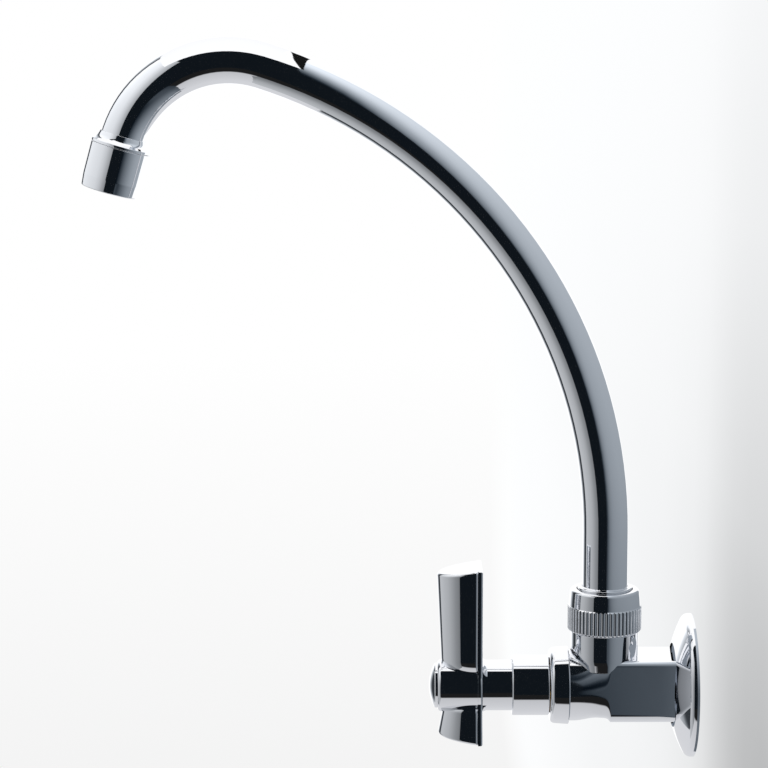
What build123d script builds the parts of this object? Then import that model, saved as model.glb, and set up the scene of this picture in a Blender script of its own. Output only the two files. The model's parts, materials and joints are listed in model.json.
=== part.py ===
"""Wall-mounted kitchen tap: quarter-turn valve, lever handle and swivelling gooseneck spout.

Millimetres, +Z up. The origin is on the inlet's axis in the plane of the wall, +X goes into
the wall, and the spout and the handle point to -X. Places along the handle's axis are given
as distances in front of the spout's swivel axis, and grow away from the wall.
"""
import math
import os

from build123d import *

os.makedirs("parts", exist_ok=True)

# Clearances
running_fit = 0.05        # radial gap of a shaft or ring that turns in a bore
thread_gap = 0.05         # radial gap between an inside and an outside thread
face_gap = 0.05           # axial gap between faces that slide on each other
skirt_gap = 0.3           # radial gap between covers that turn past each other
solder_gap = 0.1          # radial gap that the solder fills
cut_overrun = 1.0         # open-ended cuts reach this far past the face

# Inlet shank and bar of the body
wall_to_spout = 37.0      # wall plane to the spout's swivel axis
thread_radius = 10.48     # G1/2 outside thread
thread_length = 15.0      # shank beyond the wall plane
thread_lead_in = 1.2
inlet_bore_radius = 6.5
seat_bore_radius = 5.0
inlet_step = 8.0          # the wide inlet bore ends this far in front of the wall plane
bar_side = 26.8
bar_edge_radius = 4.0
bar_end_inset = 3.0       # the square bar stops this far in front of the wall plane
bar_front = -1.0          # where the square bar begins
blend_length = 10.0       # from the square bar to the round neck
blend_flat = 0.01         # straight bit left between the arcs of the round end of the blend

# Neck that takes the cartridge
neck_radius = 14.9
neck_face = 20.0
neck_bore_radius = 10.25
chamber_radius = 9.7
chamber_overlap = 0.6     # the water chamber ends this far in front of the headwork's foot
seat_place = -1.0

# Boss that takes the spout
boss_radius = 14.25
boss_top = 24.1
boss_foot = 11.1
boss_foot_slope = 1.2     # the boss runs into the bar's faces over this height
boss_foot_radius = 13.3
union_thread_radius = 12.9
union_thread_height = 8.5
spout_bore_radius = 10.1
spout_bore_floor = 13.0
riser_port_radius = 4.5
riser_port_place = 3.0

# Wall plate
plate_radius = 30.1
plate_depth = 8.0
plate_wall = 0.9
plate_band = 1.0          # cylindrical part of the rim, next to the wall
plate_rim_radius = 3.0    # rounding between that band and the plate's face
plate_rim_turn = 63.0
plate_hole_gap = 0.35

# Spout nut and the rings in it
nut_radius = 15.5
nut_clearance = 0.25      # between the nut's foot and the boss
nut_foot_inset = 1.6
nut_foot_height = 2.3
knurl_height = 7.8
knurl_count = 52
knurl_depth = 0.5
knurl_flute_width = 0.75
nut_shoulder_radius = 14.3
nut_shoulder_height = 5.6 # from the knurl's top to the rounded top edge
nut_shoulder_bulge = 0.12
nut_edge_height = 1.9
nut_edge_inset = 1.6
nut_edge_radius = 1.9
slip_ring_thickness = 0.9
thrust_washer_thickness = 0.6

# Spigot of the spout
spigot_flange_gap = 0.45  # between the flange and the nut's thread
spigot_flange_thickness = 2.2
spigot_cup_radius = 11.45
spigot_cup_height = 7.8
spigot_cup_edge = 0.8
spigot_bore_radius = 7.2
spigot_foot_gap = 1.0     # between the spigot's foot and the floor of its bore
spigot_ring_places = (5.0, 12.0)
spigot_ring_section = 0.8
spigot_groove_width = 2.0

# Spout tube
tube_radius = 9.5
tube_wall = 1.0
tube_seat = 1.6           # the tube's foot stands this far above the spigot's flange
riser_height = 66.2
main_bend_radius = 202.9
main_bend_turn = 72.5
end_bend_radius = 45.0
end_bend_turn = 91.5
tip_straight = 2.5        # from the end of the bend to the aerator's seam
tube_tip_length = 3.0     # the tube runs on past the seam, inside the ferrule

# Ferrule and aerator, measured along the outlet from the seam
tip_radius = 12.45
tip_band = 1.1
tip_flare_height = 5.0
tip_flare_edge = 0.3      # thickness of the flare's thin end
tip_flare_hollow = 0.7
tip_thread_radius = 10.9
tip_thread_length = 7.5
tip_bore_radius = 8.0
seam_gap = 0.15
aerator_length = 18.7
aerator_mouth_radius = 11.85
aerator_chamfer_length = 5.0
aerator_taper = 0.15
aerator_lip_radius = 9.2
aerator_lip_height = 2.1
gasket_thickness = 1.8
gasket_bore_radius = 7.5
insert_radius = 10.3
insert_slots = 18
insert_slot_length = 3.0
insert_slot_width = 1.1
insert_slot_inset = 0.6   # from the gasket's bore
screen_thickness = 0.5
screen_gap = 0.35
screen_count = 2
screen_pitch = 1.9
screen_hole = 1.35

# Bonnet
collar_radius = 16.4
collar_front_radius = 15.8
collar_shoulder = 3.4
collar_overlap = 4.9      # the collar covers this much of the neck
collar_reach = 3.1        # and stands this far in front of it
collar_wall = 1.4
bonnet_gap = 0.3          # groove between the collar and the sleeve
sleeve_radius = 12.6
sleeve_edge = 0.7
sleeve_web_gap = 1.7      # between the headwork's hexagon and the sleeve's threaded web
sleeve_web_length = 4.0
sleeve_rim = 4.0          # the sleeve's rim stands this far past the headwork's neck

# Cartridge
disc_radius = 8.2
fixed_disc_thickness = 2.5
moving_disc_thickness = 2.5
seal_thickness = 1.4
seal_bore_radius = 5.3
port_inner_radius = 2.4
port_outer_radius = 6.6
port_angle = 82.0
drive_slot_width = 3.0
drive_slot_depth = 1.0
drive_tongue_inset = 1.6  # the stem's tongue ends this far inside the driver's rim
driver_thickness = 3.0
driver_radius = 7.9
washer_thickness = 0.5
cage_wall = 0.9
cage_window_width = 9.0
cage_window_length = 4.6
cage_overlap = 2.6
cartridge_thread_clear = 0.3
cartridge_flange_radius = 11.3
cartridge_flange_thickness = 1.6
cartridge_hex_flats = 19.0
cartridge_hex_length = 4.3
cartridge_neck_radius = 8.6
cartridge_neck_overrun = 2.0  # the headwork's neck goes on past the sleeve's web
cartridge_seal_section = 0.8
stem_radius = 4.2
stem_reach = 0.3          # the stem ends this far in front of the handle's plate
stem_ring_places = (4.0, 9.0)  # in front of the slip washer
stem_ring_section = 0.48
circlip_thickness = 0.8
circlip_radius = 6.0
circlip_gap_angle = 60.0
spline_length = 12.0
spline_teeth = 20
spline_depth = 0.35

# Handle
handle_neck_radius = 10.6
handle_neck_length = 12.4 # from the sleeve's front to the handle's plate
handle_neck_overlap = 3.2 # the neck goes this far into the sleeve
handle_neck_wall = 1.7
handle_neck_flare = 2.0   # hollow rounding between the neck and the plate
handle_plate_thickness = 1.9
handle_plate_edge = 0.8
hub_radius = 10.9
hub_length = 16.9
hub_edge = 1.6
lever_top = 51.4
lever_waist = 10.0        # below the axis, where the lower wing begins to flare
lever_bottom = 23.2
lever_half_width_top = 11.6
lever_half_width_hub = 9.2
lever_half_width_foot = 11.6
lever_depth_top = 17.3
lever_depth_hub = 14.7
lever_depth_waist = 14.2
lever_depth_foot = 17.0
lever_end_slope = 8.0
lever_edge = 1.4
lever_root = 1.5          # hollow rounding between the lever and the hub
lever_rear_edge = 0.9     # rounding of the shell's outline next to the plate
socket_radius = 6.4
socket_reach = 2.3        # the splined insert goes this far into the hub
socket_tail = 7.7         # and this far behind the plate
screw_web = 3.0
screw_clearance_radius = 2.6
screw_radius = 2.0
screw_length = 12.0
screw_head_radius = 4.2
screw_head_height = 3.4
screw_socket_flats = 3.0
screw_socket_depth = 2.0
screw_gap = 1.5           # left in the stem's hole past the screw's end
cap_bore_radius = 6.2
cap_rim_radius = 9.4
cap_rim_thickness = 1.3
cap_rim_edge = 0.35
cap_dome_height = 2.3
cap_plug_length = 5.5
cap_plug_wall = 1.6
cap_ring_section = 0.5
cap_ring_inset = 3.8

# Places worked out from the sizes above
spout_x = -wall_to_spout
spout_plane = Plane(origin=(spout_x, 0, 0), x_dir=(-1, 0, 0), z_dir=(0, 1, 0))
outlet_turn = main_bend_turn + end_bend_turn
bar_half = bar_side / 2
bar_corner = bar_half * math.sqrt(2) - bar_edge_radius * (math.sqrt(2) - 1)
plate_hole_radius = bar_corner + plate_hole_gap
boss_neck_top = boss_top + union_thread_height
washer_top = boss_neck_top + thrust_washer_thickness
flange_bottom = washer_top + face_gap
flange_top = flange_bottom + spigot_flange_thickness
slip_ring_bottom = flange_top + face_gap
slip_ring_top = slip_ring_bottom + slip_ring_thickness
nut_bottom = boss_top + nut_clearance
nut_thread_radius = union_thread_radius + thread_gap
nut_mouth_radius = spigot_cup_radius + skirt_gap
spigot_flange_radius = nut_thread_radius - spigot_flange_gap
knurl_bottom = nut_bottom + nut_foot_height
knurl_top = knurl_bottom + knurl_height
nut_shoulder_top = knurl_top + nut_shoulder_height
nut_top = nut_shoulder_top + nut_edge_height
spigot_radius = spout_bore_radius - running_fit
spigot_bottom = spout_bore_floor + spigot_foot_gap
cup_top = flange_top + spigot_cup_height
tube_foot = flange_top + tube_seat
shank_end = -(wall_to_spout + thread_length)
sleeve_bore_radius = cartridge_flange_radius + skirt_gap
collar_bore_radius = neck_radius + skirt_gap
cartridge_thread_radius = neck_bore_radius - thread_gap
collar_back = neck_face - collar_overlap
collar_front = neck_face + collar_reach
flange_face = neck_face + collar_wall
hex_start = flange_face + cartridge_flange_thickness
sleeve_back = collar_front + bonnet_gap
sleeve_web_back = hex_start + cartridge_hex_length + sleeve_web_gap
sleeve_web_front = sleeve_web_back + sleeve_web_length
cartridge_neck_end = sleeve_web_front + cartridge_neck_overrun
sleeve_front = cartridge_neck_end + sleeve_rim
fixed_disc_back = seat_place + seal_thickness
moving_disc_back = fixed_disc_back + fixed_disc_thickness + face_gap
driver_back = moving_disc_back + moving_disc_thickness
driver_front = driver_back + driver_thickness
washer_front = driver_front + face_gap + washer_thickness
chamber_end = washer_front + chamber_overlap
cage_radius = disc_radius + thread_gap + cage_wall
stem_bore_radius = stem_radius + running_fit
circlip_back = cartridge_neck_end + face_gap
plate_face_back = sleeve_front + handle_neck_length
plate_face_front = plate_face_back + handle_plate_thickness
handle_neck_back = sleeve_front - handle_neck_overlap
sleeve_mouth_radius = handle_neck_radius + skirt_gap
hub_face = plate_face_front + hub_length
socket_hole_radius = socket_radius + thread_gap
socket_front = plate_face_front + socket_reach
socket_back = plate_face_back - socket_tail
stem_end = plate_face_front + stem_reach
spline_start = stem_end - spline_length
screw_seat = socket_front + screw_web
screw_end = screw_seat - screw_length
cap_ring_place = hub_face - cap_ring_inset
gasket_end = tip_thread_length + gasket_thickness
housing_lip_start = aerator_length - aerator_lip_height
insert_end = housing_lip_start - screen_count * (screen_thickness + screen_gap)


def across(distance):
    """Plane square to the handle's axis, facing away from the wall."""
    return Plane(origin=(spout_x - distance, 0, 0), x_dir=(0, -1, 0), z_dir=(-1, 0, 0))


def level(height, ahead=0):
    """Horizontal plane on the spout's swivel axis, or a distance in front of it."""
    return Plane(origin=(spout_x - ahead, 0, height), x_dir=(1, 0, 0), z_dir=(0, 0, 1))


def port_level(height):
    """Horizontal plane on the axis of the port below the spout's bore."""
    return level(height, riser_port_place)


def outlet_point(distance):
    """Point on the outlet's axis, measured from the aerator's seam."""
    first = math.radians(main_bend_turn)
    last = math.radians(outlet_turn)
    centre_x = spout_x - main_bend_radius + (main_bend_radius - end_bend_radius) * math.cos(first)
    centre_z = riser_height + (main_bend_radius - end_bend_radius) * math.sin(first)
    bend_x = centre_x + end_bend_radius * math.cos(last)
    bend_z = centre_z + end_bend_radius * math.sin(last)
    run = tip_straight + distance
    return Vector(bend_x - run * math.sin(last), 0, bend_z + run * math.cos(last))


def outlet(distance):
    """Plane square to the outlet, facing out of the spout."""
    last = math.radians(outlet_turn)
    return Plane(
        origin=outlet_point(distance), x_dir=(0, 1, 0), z_dir=(-math.sin(last), 0, math.cos(last))
    )


def half_section(plane):
    """Plane for a turned profile: its x is the radius, and its y runs along the given axis."""
    return Plane(origin=plane.origin, x_dir=plane.x_dir, z_dir=plane.x_dir.cross(plane.z_dir))


def rod(place, start, end, radius, mode=Mode.ADD):
    """Add or cut a round bar from one place to a later one along an axis."""
    with Locations(place(start)):
        Cylinder(radius, end - start, align=(Align.CENTER, Align.CENTER, Align.MIN), mode=mode)


def ring(place, start, end, outer, inner):
    """Add a plain ring from one place to a later one along an axis."""
    rod(place, start, end, outer)
    rod(place, start, end, inner, Mode.SUBTRACT)


def groove(place, middle, width, outer, floor):
    """Cut a ring-shaped groove into a round bar."""
    with BuildSketch(place(middle - width / 2)) as cut:
        Circle(outer)
        Circle(floor, mode=Mode.SUBTRACT)
    extrude(cut.sketch, amount=width, mode=Mode.SUBTRACT)


def turned(plane, profile):
    """Add the solid that a closed profile of (radius, place) corners makes about a plane's normal."""
    with BuildSketch(half_section(plane)) as outline:
        with BuildLine():
            Polyline(*profile, close=True)
        make_face()
    revolve(outline.sketch, axis=Axis(plane.origin, plane.z_dir))


def sector_ports(plane, outer, mode, depth):
    """Cut two opposite sector-shaped ports."""
    with BuildSketch(plane) as ports:
        for turn in (0, 180):
            half = math.radians(port_angle / 2)
            middle = math.radians(turn + 90)
            corners = [
                (outer * math.cos(middle + side * half), outer * math.sin(middle + side * half))
                for side in (-1, 1)
            ]
            with BuildLine():
                first = Line((0, 0), corners[0])
                ThreePointArc(
                    first @ 1, (outer * math.cos(middle), outer * math.sin(middle)), corners[1]
                )
                Line(corners[1], (0, 0))
            make_face()
        Circle(port_inner_radius, mode=Mode.SUBTRACT)
    extrude(ports.sketch, amount=depth, mode=mode)


def lever_section(height, half_width, depth, tilt):
    """Half-elliptic section of the lever, tilted about its flat back edge."""
    with BuildSketch(level(height, plate_face_front).rotated((0, tilt, 0))) as section:
        Ellipse(depth, half_width)
        Rectangle(2 * depth, 2 * half_width, align=(Align.MIN, Align.CENTER), mode=Mode.SUBTRACT)
    return section.sketch


def plate_outline(distance, inset=0):
    """Outline of the lever seen along the handle's axis, or one that lies inside it."""
    with BuildSketch(across(distance)) as outline:
        with BuildLine():
            Polyline(
                (-lever_half_width_hub, 0), (-lever_half_width_top, lever_top),
                (lever_half_width_top, lever_top), (lever_half_width_hub, 0),
                (lever_half_width_hub, -lever_waist), (lever_half_width_foot, -lever_bottom),
                (-lever_half_width_foot, -lever_bottom), (-lever_half_width_hub, -lever_waist),
                close=True,
            )
        make_face()
        Circle(hub_radius)
        if inset:
            offset(amount=-inset)
    return outline.sketch


def save(piece, name):
    """Label a finished piece and write it."""
    piece.part.label = name
    export_step(piece.part, f"parts/{name}.step")


# Body casting
with BuildPart() as tap_body:
    with BuildSketch(across(bar_front)):
        RectangleRounded(bar_side, bar_side, bar_edge_radius)
    extrude(amount=-(wall_to_spout - bar_end_inset + bar_front))
    with BuildSketch(across(bar_front)):
        RectangleRounded(bar_side, bar_side, bar_edge_radius)
    with BuildSketch(across(bar_front + blend_length)):
        RectangleRounded(2 * neck_radius, 2 * neck_radius, neck_radius - blend_flat)
    loft(ruled=True)
    rod(across, bar_front + blend_length, neck_face, neck_radius)
    rod(level, boss_foot, boss_top, boss_radius)
    with BuildSketch(level(boss_foot)):
        Circle(boss_radius)
    with BuildSketch(level(boss_foot - boss_foot_slope)):
        Circle(boss_foot_radius)
    loft()
    rod(level, boss_top, boss_neck_top, union_thread_radius)
    rod(across, shank_end, bar_end_inset - wall_to_spout, thread_radius)
    chamfer(faces().sort_by(Axis.X)[-1].edges(), thread_lead_in)
    # Waterways: spout bore, riser port, chamber, threaded neck, seat and inlet
    rod(level, spout_bore_floor, boss_neck_top, spout_bore_radius, Mode.SUBTRACT)
    rod(port_level, 0, spout_bore_floor, riser_port_radius, Mode.SUBTRACT)
    rod(across, seat_place, chamber_end, chamber_radius, Mode.SUBTRACT)
    rod(across, chamber_end, neck_face, neck_bore_radius, Mode.SUBTRACT)
    rod(across, shank_end, seat_place, seat_bore_radius, Mode.SUBTRACT)
    rod(across, shank_end, inlet_step - wall_to_spout, inlet_bore_radius, Mode.SUBTRACT)
save(tap_body, "tap_body")

# Domed wall plate with a round hole for the bar
with BuildPart() as escutcheon:
    with BuildSketch(half_section(across(-wall_to_spout))) as plate_profile:
        with BuildLine():
            band = Line((plate_radius, 0), (plate_radius, plate_band))
            rim = JernArc(band @ 1, (0, 1), plate_rim_radius, plate_rim_turn)
            face = TangentArc(rim @ 1, (plate_hole_radius, plate_depth), tangent=rim % 1)
            inner_band = Line((plate_radius - plate_wall, 0), (plate_radius - plate_wall, plate_band))
            inner_rim = JernArc(
                inner_band @ 1, (0, 1), plate_rim_radius - plate_wall, plate_rim_turn
            )
            inner_lip = (plate_hole_radius, plate_depth - plate_wall)
            inner_face = TangentArc(inner_rim @ 1, inner_lip, tangent=inner_rim % 1)
            Line(face @ 1, inner_face @ 1)
            Line(band @ 0, inner_band @ 0)
        make_face()
    revolve(axis=Axis.X)
save(escutcheon, "escutcheon")

# Union nut: sloped foot, knurled band, steep shoulder and rounded top edge
with BuildPart() as spout_nut:
    with BuildSketch(half_section(level(0))):
        with BuildLine():
            foot_radius = nut_radius - nut_foot_inset
            shoulder_start = (nut_radius - knurl_depth, knurl_top + knurl_depth)
            shoulder_end = (nut_shoulder_radius, nut_shoulder_top)
            flat_edge = (nut_shoulder_radius - nut_edge_inset, nut_top)
            Polyline(
                (nut_thread_radius, nut_bottom), (foot_radius, nut_bottom),
                (nut_radius, knurl_bottom), (nut_radius, knurl_top), shoulder_start,
            )
            SagittaArc(shoulder_start, shoulder_end, -nut_shoulder_bulge)
            RadiusArc(shoulder_end, flat_edge, -nut_edge_radius)
            Polyline(
                flat_edge, (nut_mouth_radius, nut_top), (nut_mouth_radius, slip_ring_top),
                (nut_thread_radius, slip_ring_top), (nut_thread_radius, nut_bottom),
            )
        make_face()
    revolve(axis=Axis((spout_x, 0, 0), (0, 0, 1)))
    with BuildSketch(level(knurl_bottom)):
        with PolarLocations(nut_radius, knurl_count):
            Rectangle(2 * knurl_depth, knurl_flute_width)
    extrude(amount=knurl_height, mode=Mode.SUBTRACT)
save(spout_nut, "spout_nut")

# Rings between the nut, the spigot's flange and the boss
with BuildPart() as nut_slip_ring:
    ring(
        level, slip_ring_bottom, slip_ring_top,
        nut_thread_radius - thread_gap, spigot_cup_radius + running_fit,
    )
save(nut_slip_ring, "nut_slip_ring")

with BuildPart() as spout_thrust_washer:
    ring(level, boss_neck_top, washer_top, union_thread_radius, spout_bore_radius)
save(spout_thrust_washer, "spout_thrust_washer")

# Spigot: plain end with two grooves, flange, and the cup that holds the tube
with BuildPart() as spout_spigot:
    turned(level(0), [
        (spigot_bore_radius, spigot_bottom), (spigot_radius - spigot_cup_edge, spigot_bottom),
        (spigot_radius, spigot_bottom + spigot_cup_edge), (spigot_radius, flange_bottom),
        (spigot_flange_radius, flange_bottom), (spigot_flange_radius, flange_top),
        (spigot_cup_radius, flange_top), (spigot_cup_radius, cup_top - spigot_cup_edge),
        (spigot_cup_radius - spigot_cup_edge, cup_top), (tube_radius + solder_gap / 2, cup_top),
        (tube_radius + solder_gap / 2, tube_foot), (spigot_bore_radius, tube_foot),
    ])
    for place in spigot_ring_places:
        groove(
            level, spigot_bottom + place, spigot_groove_width,
            spout_bore_radius, spigot_radius - 2 * spigot_ring_section,
        )
save(spout_spigot, "spout_spigot")

with BuildPart() as spigot_o_rings:
    for place in spigot_ring_places:
        with Locations(level(spigot_bottom + place)):
            Torus(spigot_radius - spigot_ring_section, spigot_ring_section)
save(spigot_o_rings, "spigot_o_rings")

# Gooseneck tube: straight riser, long bend, short bend, straight tip
with BuildPart() as spout_tube:
    with BuildLine(spout_plane) as tube_path:
        riser = Line((0, tube_foot), (0, riser_height))
        main_bend = JernArc(riser @ 1, riser % 1, main_bend_radius, -main_bend_turn)
        end_bend = JernArc(main_bend @ 1, main_bend % 1, end_bend_radius, -end_bend_turn)
        Line(end_bend @ 1, end_bend @ 1 + (end_bend % 1) * (tip_straight + tube_tip_length))
    with BuildSketch(level(tube_foot)):
        Circle(tube_radius)
        Circle(tube_radius - tube_wall, mode=Mode.SUBTRACT)
    sweep(path=tube_path.wire())
save(spout_tube, "spout_tube")

# Ferrule on the tube's end
with BuildPart() as spout_tip:
    with BuildSketch(half_section(outlet(0))):
        with BuildLine():
            tip_bore = tube_radius + solder_gap
            flare_end = (tip_bore + tip_flare_edge, -tip_flare_height)
            band_top = (tip_radius, -tip_band)
            Polyline(
                (tip_bore, tube_tip_length), (tip_bore, -tip_flare_height), flare_end,
            )
            SagittaArc(flare_end, band_top, tip_flare_hollow)
            Polyline(
                band_top, (tip_radius, 0), (tip_thread_radius, 0),
                (tip_thread_radius, tip_thread_length), (tip_bore_radius, tip_thread_length),
                (tip_bore_radius, tube_tip_length), (tip_bore, tube_tip_length),
            )
        make_face()
    revolve(axis=Axis(outlet_point(0), outlet(0).z_dir))
save(spout_tip, "spout_tip")

# Aerator
with BuildPart() as aerator_housing:
    turned(outlet(0), [
        (tip_thread_radius + thread_gap, seam_gap), (tip_radius - thread_gap, seam_gap),
        (tip_radius - aerator_taper, aerator_length - aerator_chamfer_length),
        (aerator_mouth_radius, aerator_length), (aerator_lip_radius, aerator_length),
        (aerator_lip_radius, housing_lip_start), (insert_radius + thread_gap, housing_lip_start),
        (insert_radius + thread_gap, gasket_end), (tip_thread_radius + thread_gap, gasket_end),
    ])
save(aerator_housing, "aerator_housing")

with BuildPart() as aerator_gasket:
    ring(outlet, tip_thread_length, gasket_end, tip_thread_radius, gasket_bore_radius)
save(aerator_gasket, "aerator_gasket")

with BuildPart() as aerator_insert:
    rod(outlet, gasket_end, insert_end, insert_radius)
    with BuildSketch(outlet(gasket_end)):
        slot_middle = gasket_bore_radius - insert_slot_inset - insert_slot_length / 2
        with PolarLocations(slot_middle, insert_slots):
            Rectangle(insert_slot_length, insert_slot_width)
    extrude(amount=insert_end - gasket_end, mode=Mode.SUBTRACT)
save(aerator_insert, "aerator_insert")

with BuildPart() as aerator_screens:
    for index in range(screen_count):
        screen_place = insert_end + index * (screen_thickness + screen_gap)
        half_cells = int(aerator_lip_radius // screen_pitch)
        cells = [
            (column * screen_pitch, row * screen_pitch)
            for column in range(-half_cells, half_cells + 1)
            for row in range(-half_cells, half_cells + 1)
            if math.hypot(column, row) * screen_pitch < aerator_lip_radius - screen_hole
        ]
        with BuildSketch(outlet(screen_place)):
            Circle(insert_radius)
            with Locations(*cells):
                Rectangle(screen_hole, screen_hole, mode=Mode.SUBTRACT)
        extrude(amount=screen_thickness)
save(aerator_screens, "aerator_screens")

# Bell-shaped collar and sleeve around the cartridge
with BuildPart() as bonnet_collar:
    with BuildSketch(half_section(across(0))):
        with BuildLine():
            shoulder_start = (collar_front_radius, collar_front - collar_shoulder)
            shoulder_end = (collar_front_radius - collar_shoulder, collar_front)
            collar_hole_radius = cartridge_thread_radius + skirt_gap
            Polyline(
                (collar_bore_radius, collar_back), (collar_radius, collar_back), shoulder_start,
            )
            RadiusArc(shoulder_start, shoulder_end, -collar_shoulder)
            Polyline(
                shoulder_end, (sleeve_bore_radius, collar_front),
                (sleeve_bore_radius, flange_face), (collar_hole_radius, flange_face),
                (collar_hole_radius, neck_face), (collar_bore_radius, neck_face),
                (collar_bore_radius, collar_back),
            )
        make_face()
    revolve(axis=Axis.X)
save(bonnet_collar, "bonnet_collar")

with BuildPart() as bonnet_sleeve:
    turned(across(0), [
        (sleeve_bore_radius, sleeve_back), (sleeve_radius - sleeve_edge, sleeve_back),
        (sleeve_radius, sleeve_back + sleeve_edge), (sleeve_radius, sleeve_front - sleeve_edge),
        (sleeve_radius - sleeve_edge, sleeve_front), (sleeve_mouth_radius, sleeve_front),
        (sleeve_mouth_radius, sleeve_web_front),
        (cartridge_neck_radius + thread_gap, sleeve_web_front),
        (cartridge_neck_radius + thread_gap, sleeve_web_back),
        (sleeve_bore_radius, sleeve_web_back),
    ])
save(bonnet_sleeve, "bonnet_sleeve")

# Cartridge headwork, its cage and seals
with BuildPart() as cartridge_body:
    spigot_end = washer_front + cage_overlap
    seal_groove_end = neck_face - cartridge_thread_clear
    seal_groove_start = seal_groove_end - 2 * cartridge_seal_section
    seal_groove_floor = cartridge_thread_radius - 2 * cartridge_seal_section
    turned(across(0), [
        (stem_bore_radius, washer_front), (disc_radius, washer_front),
        (disc_radius, spigot_end), (cartridge_thread_radius, spigot_end),
        (cartridge_thread_radius, seal_groove_start), (seal_groove_floor, seal_groove_start),
        (seal_groove_floor, seal_groove_end), (cartridge_thread_radius, seal_groove_end),
        (cartridge_thread_radius, flange_face), (cartridge_flange_radius, flange_face),
        (cartridge_flange_radius, hex_start), (cartridge_neck_radius, hex_start),
        (cartridge_neck_radius, cartridge_neck_end), (stem_bore_radius, cartridge_neck_end),
    ])
    with BuildSketch(across(hex_start)):
        RegularPolygon(cartridge_hex_flats / 2, 6, major_radius=False)
        Circle(cartridge_neck_radius, mode=Mode.SUBTRACT)
    extrude(amount=cartridge_hex_length)
save(cartridge_body, "cartridge_body")

with BuildPart() as cartridge_cage:
    cage_end = washer_front + cage_overlap - face_gap
    ring(across, seat_place + face_gap, cage_end, cage_radius, disc_radius + thread_gap)
    window_place = moving_disc_back + cage_window_length / 2
    with BuildSketch(Plane(origin=(spout_x - window_place, 0, 0))):
        Rectangle(cage_window_length, cage_window_width)
    extrude(amount=2 * cage_radius, both=True, mode=Mode.SUBTRACT)
save(cartridge_cage, "cartridge_cage")

with BuildPart() as cartridge_o_ring:
    with Locations(across(seal_groove_end - cartridge_seal_section)):
        Torus(cartridge_thread_radius - cartridge_seal_section, cartridge_seal_section)
save(cartridge_o_ring, "cartridge_o_ring")

with BuildPart() as seat_seal:
    ring(across, seat_place, fixed_disc_back, disc_radius, seal_bore_radius)
save(seat_seal, "seat_seal")

with BuildPart() as fixed_disc:
    rod(across, fixed_disc_back, fixed_disc_back + fixed_disc_thickness, disc_radius)
    sector_ports(across(fixed_disc_back), port_outer_radius, Mode.SUBTRACT, fixed_disc_thickness)
save(fixed_disc, "fixed_disc")

with BuildPart() as moving_disc:
    rod(across, moving_disc_back, driver_back, driver_radius)
    sector_ports(
        across(moving_disc_back), driver_radius + cut_overrun, Mode.SUBTRACT, moving_disc_thickness
    )
    with BuildSketch(across(driver_back)):
        Rectangle(2 * driver_radius, drive_slot_width)
    extrude(amount=-drive_slot_depth, mode=Mode.SUBTRACT)
save(moving_disc, "moving_disc")

with BuildPart() as cartridge_stem:
    rod(across, driver_back, driver_front, driver_radius)
    with BuildSketch(across(driver_back)):
        Rectangle(2 * (driver_radius - drive_tongue_inset), drive_slot_width - 2 * running_fit)
    extrude(amount=-(drive_slot_depth - running_fit))
    rod(across, driver_front, stem_end, stem_radius)
    for place in stem_ring_places:
        groove(
            across, washer_front + place, 2 * stem_ring_section + running_fit,
            driver_radius, stem_radius - 2 * stem_ring_section,
        )
    groove(
        across, circlip_back + circlip_thickness / 2, circlip_thickness,
        driver_radius, stem_radius - spline_depth,
    )
    with BuildSketch(across(spline_start)):
        with PolarLocations(stem_radius, spline_teeth):
            Rectangle(2 * spline_depth, math.pi * stem_radius / spline_teeth)
    extrude(amount=stem_end - spline_start, mode=Mode.SUBTRACT)
    rod(across, screw_end - screw_gap, stem_end, screw_radius + thread_gap, Mode.SUBTRACT)
save(cartridge_stem, "cartridge_stem")

with BuildPart() as stem_slip_washer:
    ring(across, driver_front + face_gap, washer_front, driver_radius, stem_bore_radius)
save(stem_slip_washer, "stem_slip_washer")

with BuildPart() as stem_o_rings:
    for place in stem_ring_places:
        with Locations(across(washer_front + place)):
            Torus(stem_radius - stem_ring_section, stem_ring_section)
save(stem_o_rings, "stem_o_rings")

with BuildPart() as stem_circlip:
    ring(
        across, circlip_back, circlip_back + circlip_thickness,
        circlip_radius, stem_radius - spline_depth,
    )
    with BuildSketch(across(circlip_back)):
        with BuildLine():
            reach = 2 * circlip_radius
            half_gap = math.radians(circlip_gap_angle / 2)
            Polyline(
                (0, 0), (reach * math.cos(half_gap), reach * math.sin(half_gap)),
                (reach * math.cos(half_gap), -reach * math.sin(half_gap)), close=True,
            )
        make_face()
    extrude(amount=circlip_thickness, mode=Mode.SUBTRACT)
save(stem_circlip, "stem_circlip")

# Handle: lever with hub, plate with neck, splined insert, screw and cap
with BuildPart() as handle_lever:
    hub_section = lever_section(0, lever_half_width_hub, lever_depth_hub, 0)
    waist_section = lever_section(-lever_waist, lever_half_width_hub, lever_depth_waist, 0)
    loft([
        hub_section,
        lever_section(lever_top, lever_half_width_top, lever_depth_top, -lever_end_slope),
    ], ruled=True)
    loft([hub_section, waist_section], ruled=True)
    loft([
        waist_section,
        lever_section(-lever_bottom, lever_half_width_foot, lever_depth_foot, lever_end_slope),
    ], ruled=True)
    for end in (faces().sort_by(Axis.Z)[-1], faces().sort_by(Axis.Z)[0]):
        fillet(end.edges().filter_by(GeomType.ELLIPSE), lever_edge)
    rod(across, plate_face_front, hub_face, hub_radius)
    fillet(edges(Select.NEW).filter_by(GeomType.BSPLINE), lever_root)
    fillet(faces().sort_by(Axis.X)[-1].edges(), lever_rear_edge)
    fillet(faces().sort_by(Axis.X)[0].edges(), hub_edge)
    rod(across, plate_face_front, socket_front, socket_hole_radius, Mode.SUBTRACT)
    rod(across, socket_front, screw_seat, screw_clearance_radius, Mode.SUBTRACT)
    rod(across, screw_seat, hub_face, cap_bore_radius, Mode.SUBTRACT)
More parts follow.
